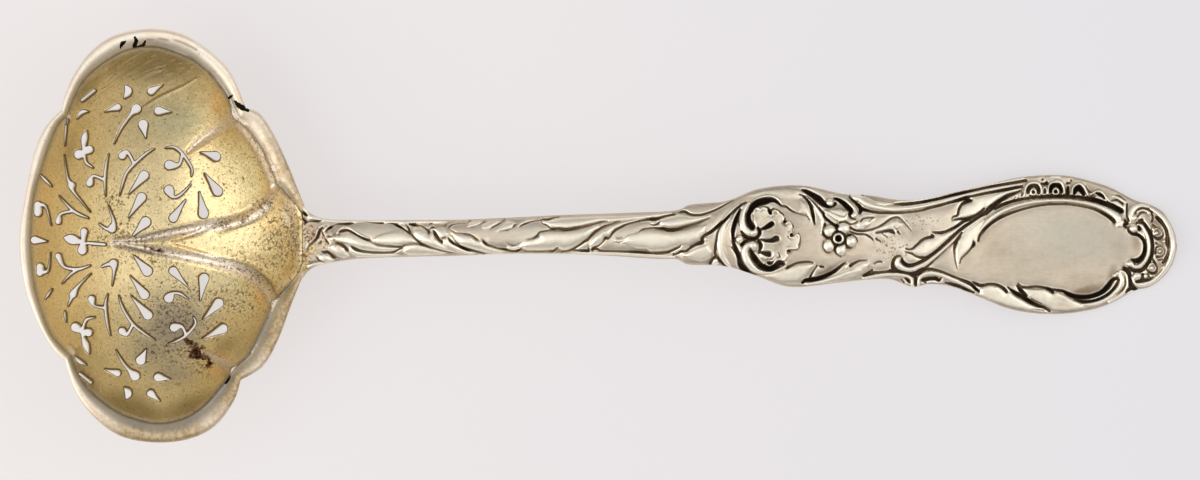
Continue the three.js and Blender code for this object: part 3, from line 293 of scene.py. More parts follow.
# Struck ornament: grooves as rows of (x, y, half width).
CUTS_PX = [
    # Root
    [(300, 209.5, 0.7), (302.5, 212.5, 1.3), (304.5, 214.5, 1.5), (306.5, 215.8, 0.8)],
    [(300.5, 216.6, 0.7), (302.6, 219.4, 1.1), (305, 222, 1.2), (303.4, 224.4, 0.8)],
    [(306, 222, 0.8), (311, 221.2, 0.6), (316.5, 220.9, 0.9), (321, 220.6, 0.6)],
    [(301.4, 231.6, 0.8), (303.4, 229.6, 0.8)],
    [(322.3, 227.6, 0.6), (319.8, 229.2, 0.9), (317.8, 233, 1.2), (316.4, 237, 1.1), (314, 240.4, 0.9),
     (311, 243, 0.7), (308, 246, 0.8), (306.5, 249, 0.8), (305.3, 253, 0.5)],
    [(320.6, 230.5, 0.5), (322, 234, 0.8), (323.6, 237.6, 0.7), (325.6, 241, 0.9), (327.5, 243.6, 0.6)],
    [(324.5, 231.6, 0.7), (326.6, 229.4, 0.9), (329.8, 227.4, 1.2), (331.6, 226.4, 0.7), (334.5, 224.8, 0.5),
     (341, 223.8, 0.8), (348.5, 223.4, 1), (352.5, 222.9, 0.5)],
    [(337.5, 231.8, 0.6), (340.6, 230.8, 0.9), (345.6, 230.1, 0.9), (350, 231.2, 0.9), (355, 234.2, 0.9),
     (361, 237.6, 1), (366, 239.3, 1.1), (369.4, 240.2, 0.6), (372, 243, 0.4), (377, 245, 0.5),
     (384, 245.8, 0.5), (393, 246.5, 0.7), (400, 247, 0.8), (404, 245.4, 0.5), (408, 244, 0.4),
     (413, 243.6, 0.4), (418, 244, 0.4)],
    [(334.6, 242.8, 0.6), (338, 243.6, 0.8), (342, 245.4, 0.9), (344.6, 247.6, 1), (346, 249.6, 1.1),
     (347.2, 251, 0.7)],
    [(350, 246, 0.5), (353, 248, 1.1), (357, 250, 1.1), (363, 251.3, 0.8), (370, 252.2, 0.7),
     (380, 252.7, 0.7), (390, 252.4, 0.7), (394, 251.6, 0.9), (397, 249.8, 0.8), (401, 248, 0.8)],
    [(320.6, 251.6, 0.6), (323.6, 252, 1), (326.4, 252, 1.2), (329.6, 254, 1.1), (332.6, 257, 1.1),
     (335, 257.9, 0.6)],
    [(315.2, 257, 0.5), (317, 259, 0.8), (318.8, 260.6, 0.6), (323, 262, 0.4)],
    [(301.5, 270.6, 0.6), (304, 267.6, 0.5), (307, 264, 0.5), (311, 261.8, 0.4), (315, 260.6, 0.4)],
    [(325, 236.6, 0.4), (328, 236.4, 0.7), (330.5, 236.6, 0.5)],
    [(320.8, 240.6, 0.5), (319.6, 242.4, 0.7), (317, 243.8, 0.5)],
    # Shank, first leaves
    [(355, 221.8, 0.3), (366, 221.9, 0.4), (374, 222.8, 0.7), (381, 223.4, 0.8), (383, 223.8, 0.4)],
    [(386, 222.8, 0.4), (392, 223.4, 0.7), (395, 225, 1.1), (398.6, 226.6, 1.2), (402, 228.6, 1),
     (405, 230.6, 0.9), (408, 232.6, 1), (410.6, 234.4, 0.7), (413.6, 238, 0.6), (417, 241.4, 0.8),
     (420, 244, 1.1), (424, 245.2, 0.9), (428, 247, 0.7), (434, 249, 0.5), (440, 250.6, 0.5),
     (447, 252.2, 0.5), (453, 253, 0.4)],
    [(405, 224.6, 0.5), (406.6, 226.8, 0.8), (408, 229.4, 1), (409.4, 232.6, 0.9)],
    [(408.4, 223.6, 0.7), (411, 224.8, 1.1), (414.6, 225.2, 1), (419, 225.2, 0.5), (422.6, 226.6, 0.6),
     (425, 228.8, 0.7), (427.6, 230.4, 0.9), (428, 233.4, 0.7)],
    [(427.6, 224.8, 0.4), (430, 223.6, 0.6), (432.4, 222.6, 0.4)],
    [(428.6, 229, 0.4), (430.4, 227.6, 0.7), (432, 227.2, 0.9), (434, 227.8, 0.5)],
    [(432.4, 230.4, 0.7), (434, 233.4, 1.2), (436, 236.8, 1.1), (438.4, 239.6, 1), (440.6, 241.6, 1),
     (442, 243.2, 0.4)],
    [(441, 238.6, 0.4), (443, 237.3, 0.5), (445, 236.9, 0.4)],
    [(443, 226.4, 0.4), (444.6, 225, 0.7), (446, 223.6, 0.4)],
    [(447.4, 238, 0.6), (449.4, 240.6, 1), (452.6, 243.4, 1), (456.6, 245.2, 0.9), (461, 247.4, 1.2),
     (466, 249.4, 1.2), (471, 250.4, 0.9), (476, 251.8, 0.8), (481, 253, 0.7), (486, 254.2, 0.4)],
    [(447.4, 228.4, 0.4), (449, 226, 0.8), (452, 224.4, 0.7), (457, 223.6, 0.5), (463, 223.4, 0.4),
     (466, 223, 0.4), (469, 221, 0.5), (471, 220, 0.4)],
    [(449, 229, 0.4), (452, 231, 0.5), (455.6, 232.8, 0.5), (461, 233.2, 0.5), (468, 234.2, 0.6),
     (472, 236, 0.6), (475, 238.6, 0.7), (478, 240.4, 0.4)],
    [(449, 233.6, 0.3), (451.4, 236.4, 0.5), (453.4, 239.6, 0.5), (455.6, 242.6, 0.6), (457.6, 244.6, 0.5)],
    [(466, 227.6, 0.3), (471, 227, 0.4), (476, 225.6, 0.4), (480, 223.6, 0.5), (483.4, 221.8, 0.7)],
    [(481.4, 240, 0.5), (483.4, 242.4, 1), (486.6, 244.8, 0.8), (491, 246.4, 0.7), (497, 248.4, 0.7),
     (503.6, 249.3, 1.1), (508, 250.7, 0.9), (513, 251.3, 0.9), (517, 250.6, 1.1), (519.4, 249.4, 0.9),
     (520.6, 247.8, 0.5), (523.4, 247, 0.3)],
    [(488.6, 229, 0.3), (492, 227.2, 0.7), (496, 225, 0.7), (500, 222.4, 0.6), (504, 219.6, 0.5)],
    [(497.4, 231.6, 0.3), (502, 230.8, 0.4), (507, 230, 0.5), (511, 228, 0.4), (513.4, 225.6, 0.8),
     (515.4, 223.6, 0.4)],
    # Shank, long leaves
    [(518.6, 226.6, 0.6), (521.6, 224.8, 0.8), (526, 223.2, 0.7), (532, 221.2, 0.6), (538, 220.4, 0.6),
     (541.4, 219.4, 0.8), (545, 219.6, 1), (549, 218.8, 0.9), (553, 217.6, 0.6), (559, 216.8, 0.3)],
    [(540, 221, 0.4), (541.4, 223.4, 0.6), (544, 224.4, 0.7), (546.6, 225.8, 0.6), (549.4, 228, 0.7),
     (552, 229, 1.1), (557, 228.6, 0.8), (563, 229.6, 1), (569, 229.4, 0.9), (575, 228, 0.8),
     (581, 226.8, 0.6), (587, 225.4, 0.6), (594, 223.6, 0.6), (600, 222, 0.6), (607, 220.8, 0.4)],
    [(550, 229.6, 0.5), (545, 230.8, 0.6), (540, 231.6, 0.6), (537.6, 232.8, 0.6), (536.6, 235, 0.8),
     (534, 237.2, 0.7), (530, 238.8, 0.4), (525, 239.6, 0.3)],
    [(505, 243.6, 0.3), (508, 244.6, 0.5), (512, 245.4, 0.6), (517, 244.6, 0.4), (520, 243, 0.3)],
    [(520, 250.8, 0.4), (527, 251.3, 0.4), (537, 251.6, 0.4), (547, 251.4, 0.5), (552, 251.2, 0.9),
     (554.6, 250.2, 0.8), (556, 248, 0.5), (559, 246.6, 0.3)],
    [(561, 252, 0.7), (566, 251.2, 0.7), (571, 249.8, 0.8), (576, 246.8, 0.9), (580, 244.2, 0.9),
     (583.6, 241.4, 1), (587, 239.6, 0.9), (590.4, 235.4, 0.9), (594, 232, 0.9), (598, 229.4, 0.8),
     (602, 226.6, 0.8), (608, 224.6, 0.6), (615, 222, 0.5), (620, 220.6, 0.3)],
    [(572, 250, 0.7), (578, 250.4, 0.9), (584, 250.4, 1.1), (587.6, 250.6, 1.1), (587, 247.6, 0.5)],
    [(591, 249.6, 1.2), (594.6, 248.6, 1.1), (600, 250.6, 0.8), (610, 251, 0.7), (620, 251.4, 0.7),
     (630, 251.6, 0.9), (640, 252, 1), (645, 252.6, 1), (650, 253.2, 0.7), (656, 253, 0.7), (662, 252.8, 0.8),
     (667, 252.2, 1), (671, 250.6, 0.9), (675, 248.6, 0.9), (678.4, 247, 0.7), (680, 245, 0.4)],
    [(590.6, 248, 0.5), (596, 246.6, 0.7), (600, 244, 0.6), (603, 240.4, 0.7), (604.6, 237.8, 1),
     (606.6, 238.6, 0.9), (609, 237, 0.7), (611.4, 233, 0.9), (615, 230, 0.8), (620, 227.2, 0.8),
     (626, 224.2, 0.7), (633, 222.2, 0.7), (641, 220.4, 0.8), (648, 219.4, 1.2), (652, 219.4, 1.6),
     (656, 218.8, 1.3), (661, 217.2, 0.9), (667, 215.4, 0.8), (673, 214.4, 1)],
    [(613.6, 236.8, 0.3), (616, 238, 0.5), (619, 238, 0.4), (622, 236.8, 0.3)],
    [(615, 242.8, 0.3), (618, 242.6, 0.5), (621, 241.6, 0.4), (624.6, 240.4, 0.3)],
    [(648, 222.6, 0.3), (651.6, 225, 0.7), (655, 224.4, 0.8), (657.6, 222.8, 0.9), (659.6, 220.6, 0.4)],
    [(637, 232.4, 0.3), (641, 229.6, 0.6), (646, 228.4, 0.6), (652, 227.8, 0.7), (657, 228.4, 1),
     (662, 228.6, 1.3), (667, 229.8, 1.4), (672, 229.8, 1.4), (678, 228.8, 1.2), (685, 226.6, 0.9),
     (692, 224.6, 0.8), (700, 221.8, 0.8), (709, 217.6, 0.5)],
    [(678, 212.6, 0.8), (681.6, 211.6, 1.2), (684.6, 212, 1.3), (689, 214.2, 1.1), (695, 215.2, 1),
     (701, 214.6, 1), (711, 211.4, 0.9), (720, 207, 0.8), (727, 203, 0.7), (733, 200, 0.4)],
    [(672, 254.4, 0.8), (676, 253.6, 0.9), (680, 251.4, 1.1), (685, 251, 1), (690, 247.4, 1)],
    # Knop: collar
    [(690, 247, 1.2), (695.4, 244.2, 1.3), (700.8, 242, 1.9), (701.5, 238.8, 1.3), (703, 235.8, 1.1),
     (709.2, 232.3, 1.4), (715.4, 227.3, 1.4), (720.8, 222.7, 1.6), (725.4, 218.5, 1.4), (731.5, 212, 1.1),
     (737.7, 206.5, 1), (745.4, 202, 0.7)],
    [(720.8, 224.2, 0.9), (717, 231, 0.9), (715.4, 240.4, 0.9), (714.2, 246.5, 1), (714.2, 253.5, 1),
     (716.2, 257.3, 1), (720, 262, 1), (723.8, 265.8, 1), (727.7, 268.5, 0.7)],
    [(714.2, 256.5, 1.1), (711.5, 259.6, 1.1), (709.2, 263.5, 1.2)],
    [(739, 209, 0.9), (735.4, 218, 1.8), (732.2, 228, 2), (731.6, 235, 1.5), (732.8, 243.6, 1.6),
     (736, 252, 2.1), (738, 258, 2), (740, 265, 2.8), (744, 269.5, 2.8), (748.5, 272, 1.3), (755, 275, 0.8)],
    [(730.8, 247.3, 0.8), (733.8, 250.8, 1.2), (736, 253.5, 1.5)],
    # Knop: scrolls
    [(740.6, 231.6, 1), (743.6, 235.6, 1.2), (745.6, 238, 1.4), (750.8, 238.9, 1.5), (756, 237.7, 1.4),
     (758.8, 232, 1.6), (757, 228, 1.2)],
    [(747, 239.8, 1.2), (743.6, 241.8, 1.2), (740.4, 245, 1.4)],
    [(757.7, 240.4, 1.4), (759.6, 245, 1.8), (759, 249, 1.4), (758, 252.7, 1.2)],
    [(751, 227.5, 2.6), (748, 222, 2.6), (747, 216, 2.2), (749, 211, 2.3), (752, 206, 3), (757, 202.8, 3.2),
     (763, 201.4, 3.2), (769, 200.2, 2.2), (774, 201, 1.5), (778, 203.8, 1.1), (781, 206, 0.8)],
    [(749.2, 248.8, 0.9), (750.8, 252.7, 1.6), (753, 257.3, 2.6), (757, 262.7, 2.5), (761.5, 266.5, 2.5),
     (768.5, 268.6, 2.4), (773.8, 266.5, 2.6), (778.5, 262.7, 2.4), (782.3, 263.5, 1.4)],
    [(781, 206, 0.8), (785.4, 206.8, 0.9), (788.6, 209.3, 0.9), (792, 211.4, 0.8), (796.4, 213.2, 0.6),
     (801.4, 214.6, 0.5), (805.7, 215.9, 0.6), (808.6, 219.3, 0.6)],
    [(786, 268, 1.1), (790.8, 265.3, 0.9), (796, 263, 0.9), (803, 262, 0.9), (808.5, 262, 0.8),
     (812.3, 263, 0.6)],
    # Knop: shell
    [(759, 229.6, 0.9), (763.8, 228, 1.5), (767.7, 225.8, 2.2), (770.8, 223.8, 2.1)],
    [(759, 239.2, 0.8), (765.4, 240.8, 1.4), (770.8, 240.4, 1.9), (775.4, 238.5, 2.4)],
    [(759, 252, 0.9), (764, 253.5, 1.9), (767.7, 254.2, 2.4)],
    [(767, 210, 0.9), (769.2, 212.7, 1.6)], [(783.5, 222, 1.6)], [(790, 235, 1.5)], [(788, 250.8, 1.3)],
    [(765, 262.5, 0.7), (768.5, 263.6, 1.2), (772, 262, 0.6)],
    [(766, 259, 0.5), (770, 259.5, 0.7), (773, 257, 0.5)],
    [(777, 253, 0.5), (779, 256.5, 0.8), (776, 258, 0.5)],
    [(763, 206.5, 0.6), (767, 208, 0.8), (769.5, 210.5, 0.9), (773, 208.5, 0.6), (778, 211, 0.6),
     (782.5, 215, 0.7)],
    [(784.5, 217.5, 0.5), (783.5, 220, 0.7)], [(789.5, 221.5, 0.6), (792, 226, 0.6), (791.5, 231, 0.8)],
    [(797.5, 233.5, 0.6), (799.5, 238, 0.5), (799, 245, 0.5), (796, 249.5, 0.5), (790, 249.5, 0.5)],
    # Leaves above the flower
    [(800.8, 190, 0.8), (805.4, 191.5, 1.8), (811.5, 195, 2.4), (817, 198.8, 3.2), (820.8, 202.3, 3),
     (823.8, 205, 2), (828.5, 206.8, 1.2), (833, 205.8, 1), (834.6, 203.5, 1.3)],
    [(798.5, 194.2, 0.7), (803, 196.5, 1), (807.7, 202, 1.3), (810.4, 208, 1.5), (812, 215, 1.5),
     (813, 221, 1.1), (813.8, 224, 0.7)],
    [(805.4, 195.8, 0.6), (811.5, 201.2, 0.9), (817, 207.3, 1), (821.5, 212.7, 1.1), (823.8, 217.3, 1.2),
     (828.5, 221.2, 1.2), (833, 224.6, 1.2), (836, 226.2, 1.2)],
    [(833.5, 198, 0.8), (837, 199.6, 1.6), (842.3, 202.7, 2.1), (847, 207.3, 2.4), (850.4, 210.8, 2),
     (849, 215, 1.1), (850.8, 218, 0.9), (854.6, 219.2, 0.7)],
    [(829, 211, 0.4), (836, 214.5, 0.5), (843, 216.5, 0.5), (845.5, 213, 0.4)],
    [(827, 214, 0.4), (834, 219.5, 0.5), (837, 221, 0.5)],
    [(848.5, 196.5, 0.8), (851.5, 199.6, 1), (855, 203, 1.2), (859, 207, 1.8), (860, 210, 1.8),
     (859, 213.6, 0.9)],
    [(860, 208.5, 1.8), (863.8, 209.8, 1.5), (870.8, 211.5, 1.1), (878.5, 212.7, 1), (888.5, 213, 1),
     (903, 212.7, 0.9), (914.6, 211.5, 0.8), (923, 210, 0.9), (929.2, 208, 1), (940, 205.4, 1),
     (947.7, 203, 1), (957, 200.4, 1.4), (964.6, 198, 1.6), (972.3, 195.8, 0.9), (986.6, 192.7, 1),
     (999, 190.6, 1.2), (1009.2, 188.8, 1.3), (1017.4, 187.1, 1.3), (1022.5, 186.5, 1)],
    [(893.8, 204.2, 0.6), (903, 203.8, 1.2), (914.6, 203, 1.2), (924.6, 201.5, 1.3), (937.7, 198.8, 1.3),
     (949.2, 195.8, 1.4), (960.8, 193, 1.5), (970.8, 190.8, 1.3), (978.5, 189.2, 1.1), (990, 186.5, 1.2),
     (1011, 183, 1), (1021.5, 181.2, 1), (1026.6, 180.4, 1.2)],
    [(849, 195, 0.6), (851, 192.8, 0.5)], [(859.2, 193.5, 0.6), (862.3, 195.4, 0.7)],
    # Flower
    [(823.8, 224.2, 1.1), (822, 229, 0.7), (822, 233.5, 1), (826.2, 237.8, 1), (830.8, 238.4, 0.9)],
    [(836, 225.8, 1.6), (835.8, 229, 0.9), (836, 231.8, 1.3)],
    [(838.5, 223, 0.7), (843.8, 222, 0.7), (848.5, 224, 0.7)],
    [(849.2, 235, 1.2), (844.6, 236.5, 0.9)],
    [(843, 242.4, 0.9), (845.2, 245.5, 0.7), (847, 247.3, 0.9), (851, 247.8, 0.6)],
    [(837, 244.4, 1.1), (833.8, 248.8, 1), (836, 254, 0.6), (840, 256.5, 0.7)],
    [(851, 234.5, 0.7), (855.4, 238, 0.7), (856.3, 242, 0.5)],
    [(823, 241, 0.5), (822, 247, 0.5), (825, 252, 0.6), (829, 252.8, 0.6)],
    [(848.5, 224.2, 0.7), (852, 224, 0.6), (857, 221.5, 0.7)],
    # Leaves beside the flower
    [(849, 227.3, 0.9), (854.6, 230.4, 1), (861.5, 231.2, 0.9), (868.5, 230, 0.8), (875.4, 228, 0.8),
     (882.3, 224.2, 0.9), (890, 218.8, 0.9), (896, 217.3, 0.9), (900, 218.8, 0.8), (905.4, 224.2, 0.7),
     (910.8, 230.4, 0.5)],
    [(850, 232, 0.9), (856, 233.8, 0.9), (863.8, 234.2, 0.8), (868.5, 236.5, 0.9), (872.3, 239.6, 0.8)],
    [(875.4, 232.7, 0.8), (880.8, 232, 1), (887, 230.8, 1.3), (891.5, 231.5, 1.6), (893.5, 233, 1)],
    [(897.3, 231.6, 1.1), (899.2, 233.7, 0.7)], [(880.8, 232.7, 0.6), (887, 237.3, 0.6)],
    [(875.4, 238.8, 0.9), (880, 241.5, 0.7)], [(893, 227, 0.5), (897, 230, 0.5)],
    [(860, 221.2, 0.9), (862.3, 218.8, 0.7), (867, 217.7, 0.6), (873, 217.3, 0.6)],
    [(868, 221.5, 0.4), (871, 218.5, 0.6), (874, 217, 0.4)],
    # Leaves below the flower
    [(801.5, 282.7, 1.2), (804.6, 280.4, 1.6), (810.8, 279.6, 2), (817, 278.5, 1.9), (824.6, 275.8, 1.8),
     (832.3, 272, 1.7), (837.7, 268, 1.4), (842.3, 264.2, 1.1), (845, 262.7, 0.7)],
    [(809.2, 277.3, 1.1), (813, 270.4, 0.8), (816.2, 265.8, 0.8)],
    [(818, 266, 0.4), (820, 266.6, 1), (823, 267, 0.8)],
    [(849.2, 265.8, 1.3), (853.8, 263, 1.1), (859.2, 260.8, 0.8), (867, 260.4, 0.5)],
    [(873, 264.2, 0.6), (876.5, 262, 0.8), (880, 261.7, 0.8), (882.3, 262.7, 0.5)],
    [(863, 275.8, 1.2), (867.7, 273.5, 1.7), (871.5, 270.4, 1.2)],
    [(868, 273.5, 1.5), (873, 272.7, 1.3), (878.5, 272.3, 1), (886, 271.5, 1), (893, 270.6, 1.7),
     (900.8, 271.8, 1.3), (908.5, 273, 1.2), (913, 274.2, 2), (917, 272.7, 2.4), (921.5, 269.6, 1.8),
     (926.2, 268.8, 1.3), (932.3, 269.2, 1), (940, 271.2, 0.9), (949.2, 275, 0.9), (958.5, 278.8, 1),
     (968.5, 282.7, 1.3), (972.3, 285.8, 1.3), (978.5, 291.2, 1)],
    [(914.6, 275.8, 1.6), (915.5, 280.4, 1.2), (915.5, 285.8, 1)],
    [(904.6, 278, 0.8), (907.3, 280.4, 1.4), (908.8, 282.3, 0.9)], [(900.8, 279.6, 0.7), (903.8, 283, 0.9)],
    # Stem and its leaves
    [(900.8, 256.5, 0.7), (897.7, 255.6, 0.8), (893.8, 258, 1), (892, 262.7, 1.3), (892.3, 267.3, 1.6),
     (894.6, 270.4, 1.8)],
    [(901.5, 258, 0.8), (902.3, 262, 1.5), (905.4, 265, 1.7), (910, 265.8, 1.6), (916, 263.8, 1.4),
     (923, 260.4, 1.4), (930, 255.8, 1.4), (937, 250.4, 1.3), (945.4, 242.7, 1.2), (953.8, 235, 1.1),
     (960.8, 228.8, 1.2), (967.7, 224.2, 1.3), (974.6, 219.6, 1.3), (980, 215.8, 1.7), (985.4, 212.7, 2.2),
     (990.7, 208, 2.5), (996, 204, 2.3), (1002, 199.3, 1.7), (1007, 196.3, 1.8), (1013.3, 193.7, 1.3),
     (1020.5, 190.6, 0.9)],
    [(926.2, 267.3, 1.2), (930.8, 262.7, 0.9), (937, 257.3, 0.8), (943.8, 251.2, 0.8), (951.5, 244.2, 0.9),
     (957.7, 238, 1.3), (961.5, 232.7, 1.2)],
    [(905.4, 248.8, 0.7), (909.2, 249.6, 0.8), (913, 248, 0.9), (917, 244.2, 0.9), (920.8, 240.4, 0.9),
     (925.4, 238, 1), (932.3, 236.5, 1.3), (931, 234.6, 0.8)],
    [(904.6, 252, 0.6), (910.8, 253.5, 0.8), (914.6, 255.8, 0.8), (920, 257.7, 1.1), (926.2, 258.2, 1.4)],
    [(932.3, 232.3, 0.8), (940, 232.7, 1.2), (945.4, 231.5, 1.1), (951.5, 228.8, 1.2), (957.7, 225.4, 1.3),
     (963, 221.5, 1.3), (970, 219.6, 1.2)],
    [(953.8, 219.6, 0.8), (959.2, 218.8, 1.1), (964.6, 219.2, 1.5), (970.8, 218, 1.2), (974.6, 216.5, 1.2),
     (980, 213, 1.4), (983.8, 208.8, 1.2)],
    [(970.8, 200.4, 1.2), (964.6, 202, 1.4), (960.8, 205, 1.1), (958.5, 209.6, 1), (957, 215, 0.9),
     (952.3, 217.3, 0.8), (952, 220.4, 0.5)],
    [(964, 198.6, 1.6), (968, 199.5, 1.6), (971, 200.4, 1)],
    [(955.4, 241.2, 1.4), (953.8, 248, 0.9), (954.2, 256.5, 0.6), (955.4, 263.5, 0.6), (957, 268.8, 0.6)],
    [(959.6, 263.5, 0.6), (961.5, 258, 0.7), (967, 252.7, 0.7), (970.8, 248, 0.9), (973.5, 244.2, 1.5),
     (973, 241.2, 0.8)],
    # Cartouche frame
    [(978, 240.8, 1.2), (979.5, 235.7, 1.4), (983.6, 229.5, 1.4), (990.7, 223.4, 1.3), (999, 218.3, 1.2),
     (1009.2, 213.7, 1.1), (1021.5, 209.6, 0.9), (1033.8, 206.4, 0.9), (1046, 204.6, 0.9),
     (1058.4, 203.9, 0.9), (1069.8, 204.3, 0.8), (1085, 206.6, 0.8), (1095.3, 209.4, 0.9),
     (1103.5, 213.2, 1.3), (1111.7, 218.3, 1.5), (1114.8, 221.4, 1.5)],
    [(994.8, 208, 1.7), (1003, 204.4, 1.6), (1011.2, 201.6, 1.3), (1019.4, 199.4, 1.3), (1025.6, 198.4, 1.2),
     (1033.8, 197.2, 1.2), (1042, 196.6, 1.3), (1050.2, 196, 1.4), (1062.5, 195.8, 1.3), (1070.7, 196.2, 1.3),
     (1081, 197, 1.3), (1089.2, 198.8, 1.8), (1097.4, 200.4, 2.1), (1105.6, 203.4, 2.2), (1113.8, 206.4, 2.4),
     (1122, 210.8, 2.4)],
    [(1126, 220.3, 1), (1128, 223.4, 1.2), (1125, 224.6, 1.4), (1127, 227.5, 1)],
    # Lower border
    [(920.8, 280, 0.9), (924.6, 279.6, 1.7), (929.2, 278.6, 1.7), (935.4, 278.6, 1.7), (938.5, 280.2, 1.4),
     (941.5, 277.7, 0.6)],
    [(922, 280.5, 1), (925.4, 282.7, 1)],
    [(945.4, 283, 0.9), (950.8, 284.2, 1.3), (958.5, 286.5, 1.4), (966, 289.6, 1.3), (973.8, 292.7, 1)],
    [(972.3, 282, 0.7), (975.4, 283.7, 1.3), (980, 285.6, 1.4), (985.4, 284.8, 1.1), (990.7, 283.9, 1),
     (996.9, 284.9, 1.1), (1003, 288, 1.3), (1006.6, 292, 1.4)],
    [(960, 280, 1), (966, 282.3, 1.2), (971.3, 284.6, 1.5), (975.4, 289, 1.5), (979, 292, 1)],
    [(1008, 287.5, 0.9), (1015.3, 293, 1.7), (1021.5, 296.2, 2), (1029.7, 301.3, 1.9), (1037.9, 305.4, 1.5),
     (1045, 308, 1.2), (1050.2, 311.5, 1)],
    [(1017.4, 285.9, 1), (1021.5, 291, 2), (1026, 296, 1.6)],
    [(1018.4, 283.9, 0.8), (1021.5, 286.9, 1.1), (1027.6, 287.4, 0.9), (1035.8, 286.6, 0.9), (1044, 287.6, 1),
     (1050.2, 289.6, 1.4), (1053.2, 292, 1.2)],
    [(1051, 289.5, 1), (1062.5, 291, 1.2), (1067.7, 293.6, 1.7), (1073.8, 296.2, 2.1), (1081, 297.4, 2.2),
     (1089.2, 297, 2), (1097.4, 294.8, 2), (1103.5, 291.6, 2.1), (1108.6, 286.4, 2.2), (1112.7, 280.8, 1.9),
     (1116.8, 278.4, 1.2), (1119.9, 280.3, 1)],
    [(1074.8, 298.6, 1), (1081, 301.2, 1.2), (1089.2, 301.6, 1.2), (1097.4, 300.2, 1.2), (1105.6, 296.9, 1.2),
     (1111.7, 292.2, 1.2), (1116.3, 286.3, 1.2), (1118.6, 281.8, 1)],
    [(1031.7, 299.2, 0.6), (1042, 304.3, 0.6)], [(1033.8, 309.5, 0.6), (1044, 310.5, 0.7)],
    [(1125.5, 278, 0.5), (1126, 284, 0.6), (1122.5, 290, 0.6), (1115, 295.5, 0.5)],
    # End: ground and inner scroll
    [(1125, 268.5, 1.6), (1129, 271.8, 2.2), (1130.4, 276.7, 1.6), (1131.2, 281.8, 1.8), (1132.2, 286.9, 2.2),
     (1137.4, 289.5, 1.6)],
    [(1132, 288, 1.6), (1129, 290, 1.4), (1127, 292.6, 1)],
    [(1129, 229.5, 0.9), (1133.2, 233.6, 1.3), (1138.4, 234.7, 1.5), (1143.5, 238.8, 1.5), (1146, 245.9, 1.6),
     (1145, 254, 1.9), (1141.4, 259.2, 2.3), (1136.8, 260.8, 2.1), (1132.2, 260, 1)],
    [(1137.4, 223, 0.9), (1143.5, 222.4, 1.4), (1147.8, 228.5, 1.6), (1151.6, 235.7, 1.6),
     (1153.2, 243.9, 1.6), (1153.2, 252, 1.6), (1151, 259.2, 1.6), (1146.8, 266.4, 1.8), (1141.4, 270.6, 1.8),
     (1135.3, 270.6, 1.6), (1130.2, 268.8, 1.6)],
    [(1140.2, 229, 1.6), (1139.6, 225.6, 0.9)], [(1133, 234, 1), (1129.5, 231.5, 0.8), (1128.6, 227, 0.9)],
    # End: volute, bumps and outer strip
    [(1128, 203.9, 0.9), (1127.6, 210, 0.9), (1128, 216.2, 0.8), (1129.6, 220.6, 1.1)],
    [(1136.3, 213.2, 0.6), (1139.4, 209, 0.8), (1144.5, 208, 0.8), (1150.6, 210, 0.8), (1153.7, 216.2, 0.9),
     (1152.7, 221.4, 0.9)],
    [(1138.4, 216.4, 0.7), (1142.5, 212.4, 0.8), (1147.5, 213, 0.6)],
    [(1139.5, 220.6, 0.9), (1142.8, 220, 1.5)],
    [(1156.4, 216.8, 0.8), (1160.9, 220.3, 1.9), (1164, 224.4, 1.5), (1167, 229.5, 1.5), (1168, 235.7, 1.4),
     (1168, 242, 1.9), (1169, 249, 0.7), (1167.4, 257.2, 1.4), (1164, 262.4, 1.2)],
    [(1153.5, 224.4, 0.8), (1157.8, 227.2, 0.7), (1162.4, 230, 0.9), (1163.6, 235, 1), (1158.9, 238.4, 1.5),
     (1153.9, 236, 1)],
    [(1156.5, 243, 1), (1161, 245.5, 0.6)],
    [(1156.3, 253, 1.2), (1157.3, 247.5, 1), (1162, 246.6, 0.8), (1165.6, 251, 1), (1163.4, 255.6, 1),
     (1157.8, 257, 1.1)],
    [(1159, 260, 0.8), (1163, 259.6, 0.9)],
    [(1153, 258, 1), (1155.6, 263.2, 1.2), (1158, 267.8, 1), (1156.4, 272.2, 1.2), (1151.8, 273, 1.4),
     (1148, 269.8, 1)],
    [(1143.5, 274.4, 1.2), (1143.4, 278, 1), (1142, 280.6, 1.6), (1137.4, 282, 1.3)],
    [(1143, 280.6, 1.5), (1149, 280.2, 1.3), (1154.8, 277.2, 0.7)],
    [(1148.5, 273.6, 0.8), (1150.6, 277.4, 0.9)],
    # Upper border: arches
    [(1028.2, 192.6, 1), (1028.6, 188.8, 1.5), (1031, 186.2, 1.5), (1034, 185.6, 1.2), (1037, 186.6, 1.5),
     (1038.8, 189.6, 1.4), (1038.8, 193.6, 0.9)],
    [(1033.6, 191.8, 1.2)], [(1030, 196, 1), (1033.6, 196.6, 0.6), (1037.4, 196, 1)],
    [(1022, 188.5, 0.6), (1022, 196, 0.8)],
    [(1050.8, 191.6, 1.3), (1051.6, 187.4, 2.1), (1054, 184.8, 1.9), (1057, 184.8, 1.6), (1059.6, 185.6, 1.9),
     (1061.2, 188.6, 1.5), (1061.6, 193, 1.1)],
    [(1056, 191.4, 1.3)], [(1052, 194.6, 1.2)], [(1060.2, 194.4, 1)],
    [(1042, 183.4, 1), (1044.6, 183.8, 1.2), (1047, 183, 1.6)], [(1045.2, 189.6, 0.9), (1045.2, 192.6, 1)],
    [(1067.7, 183.2, 1), (1071, 182.4, 0.7)], [(1068, 187, 0.7), (1069.6, 193.6, 0.8)],
    [(1075, 193.6, 1.2), (1076, 190, 2), (1079.4, 187.8, 2.8), (1082.6, 191, 2.2), (1084.2, 194.6, 1.4)],
    [(1086.4, 186, 0.6), (1089.2, 191, 0.8), (1093, 192, 0.5)],
    [(1097, 192.6, 0.8), (1099.4, 194, 1.3), (1103, 195.6, 1.4), (1105, 198.6, 0.8)],
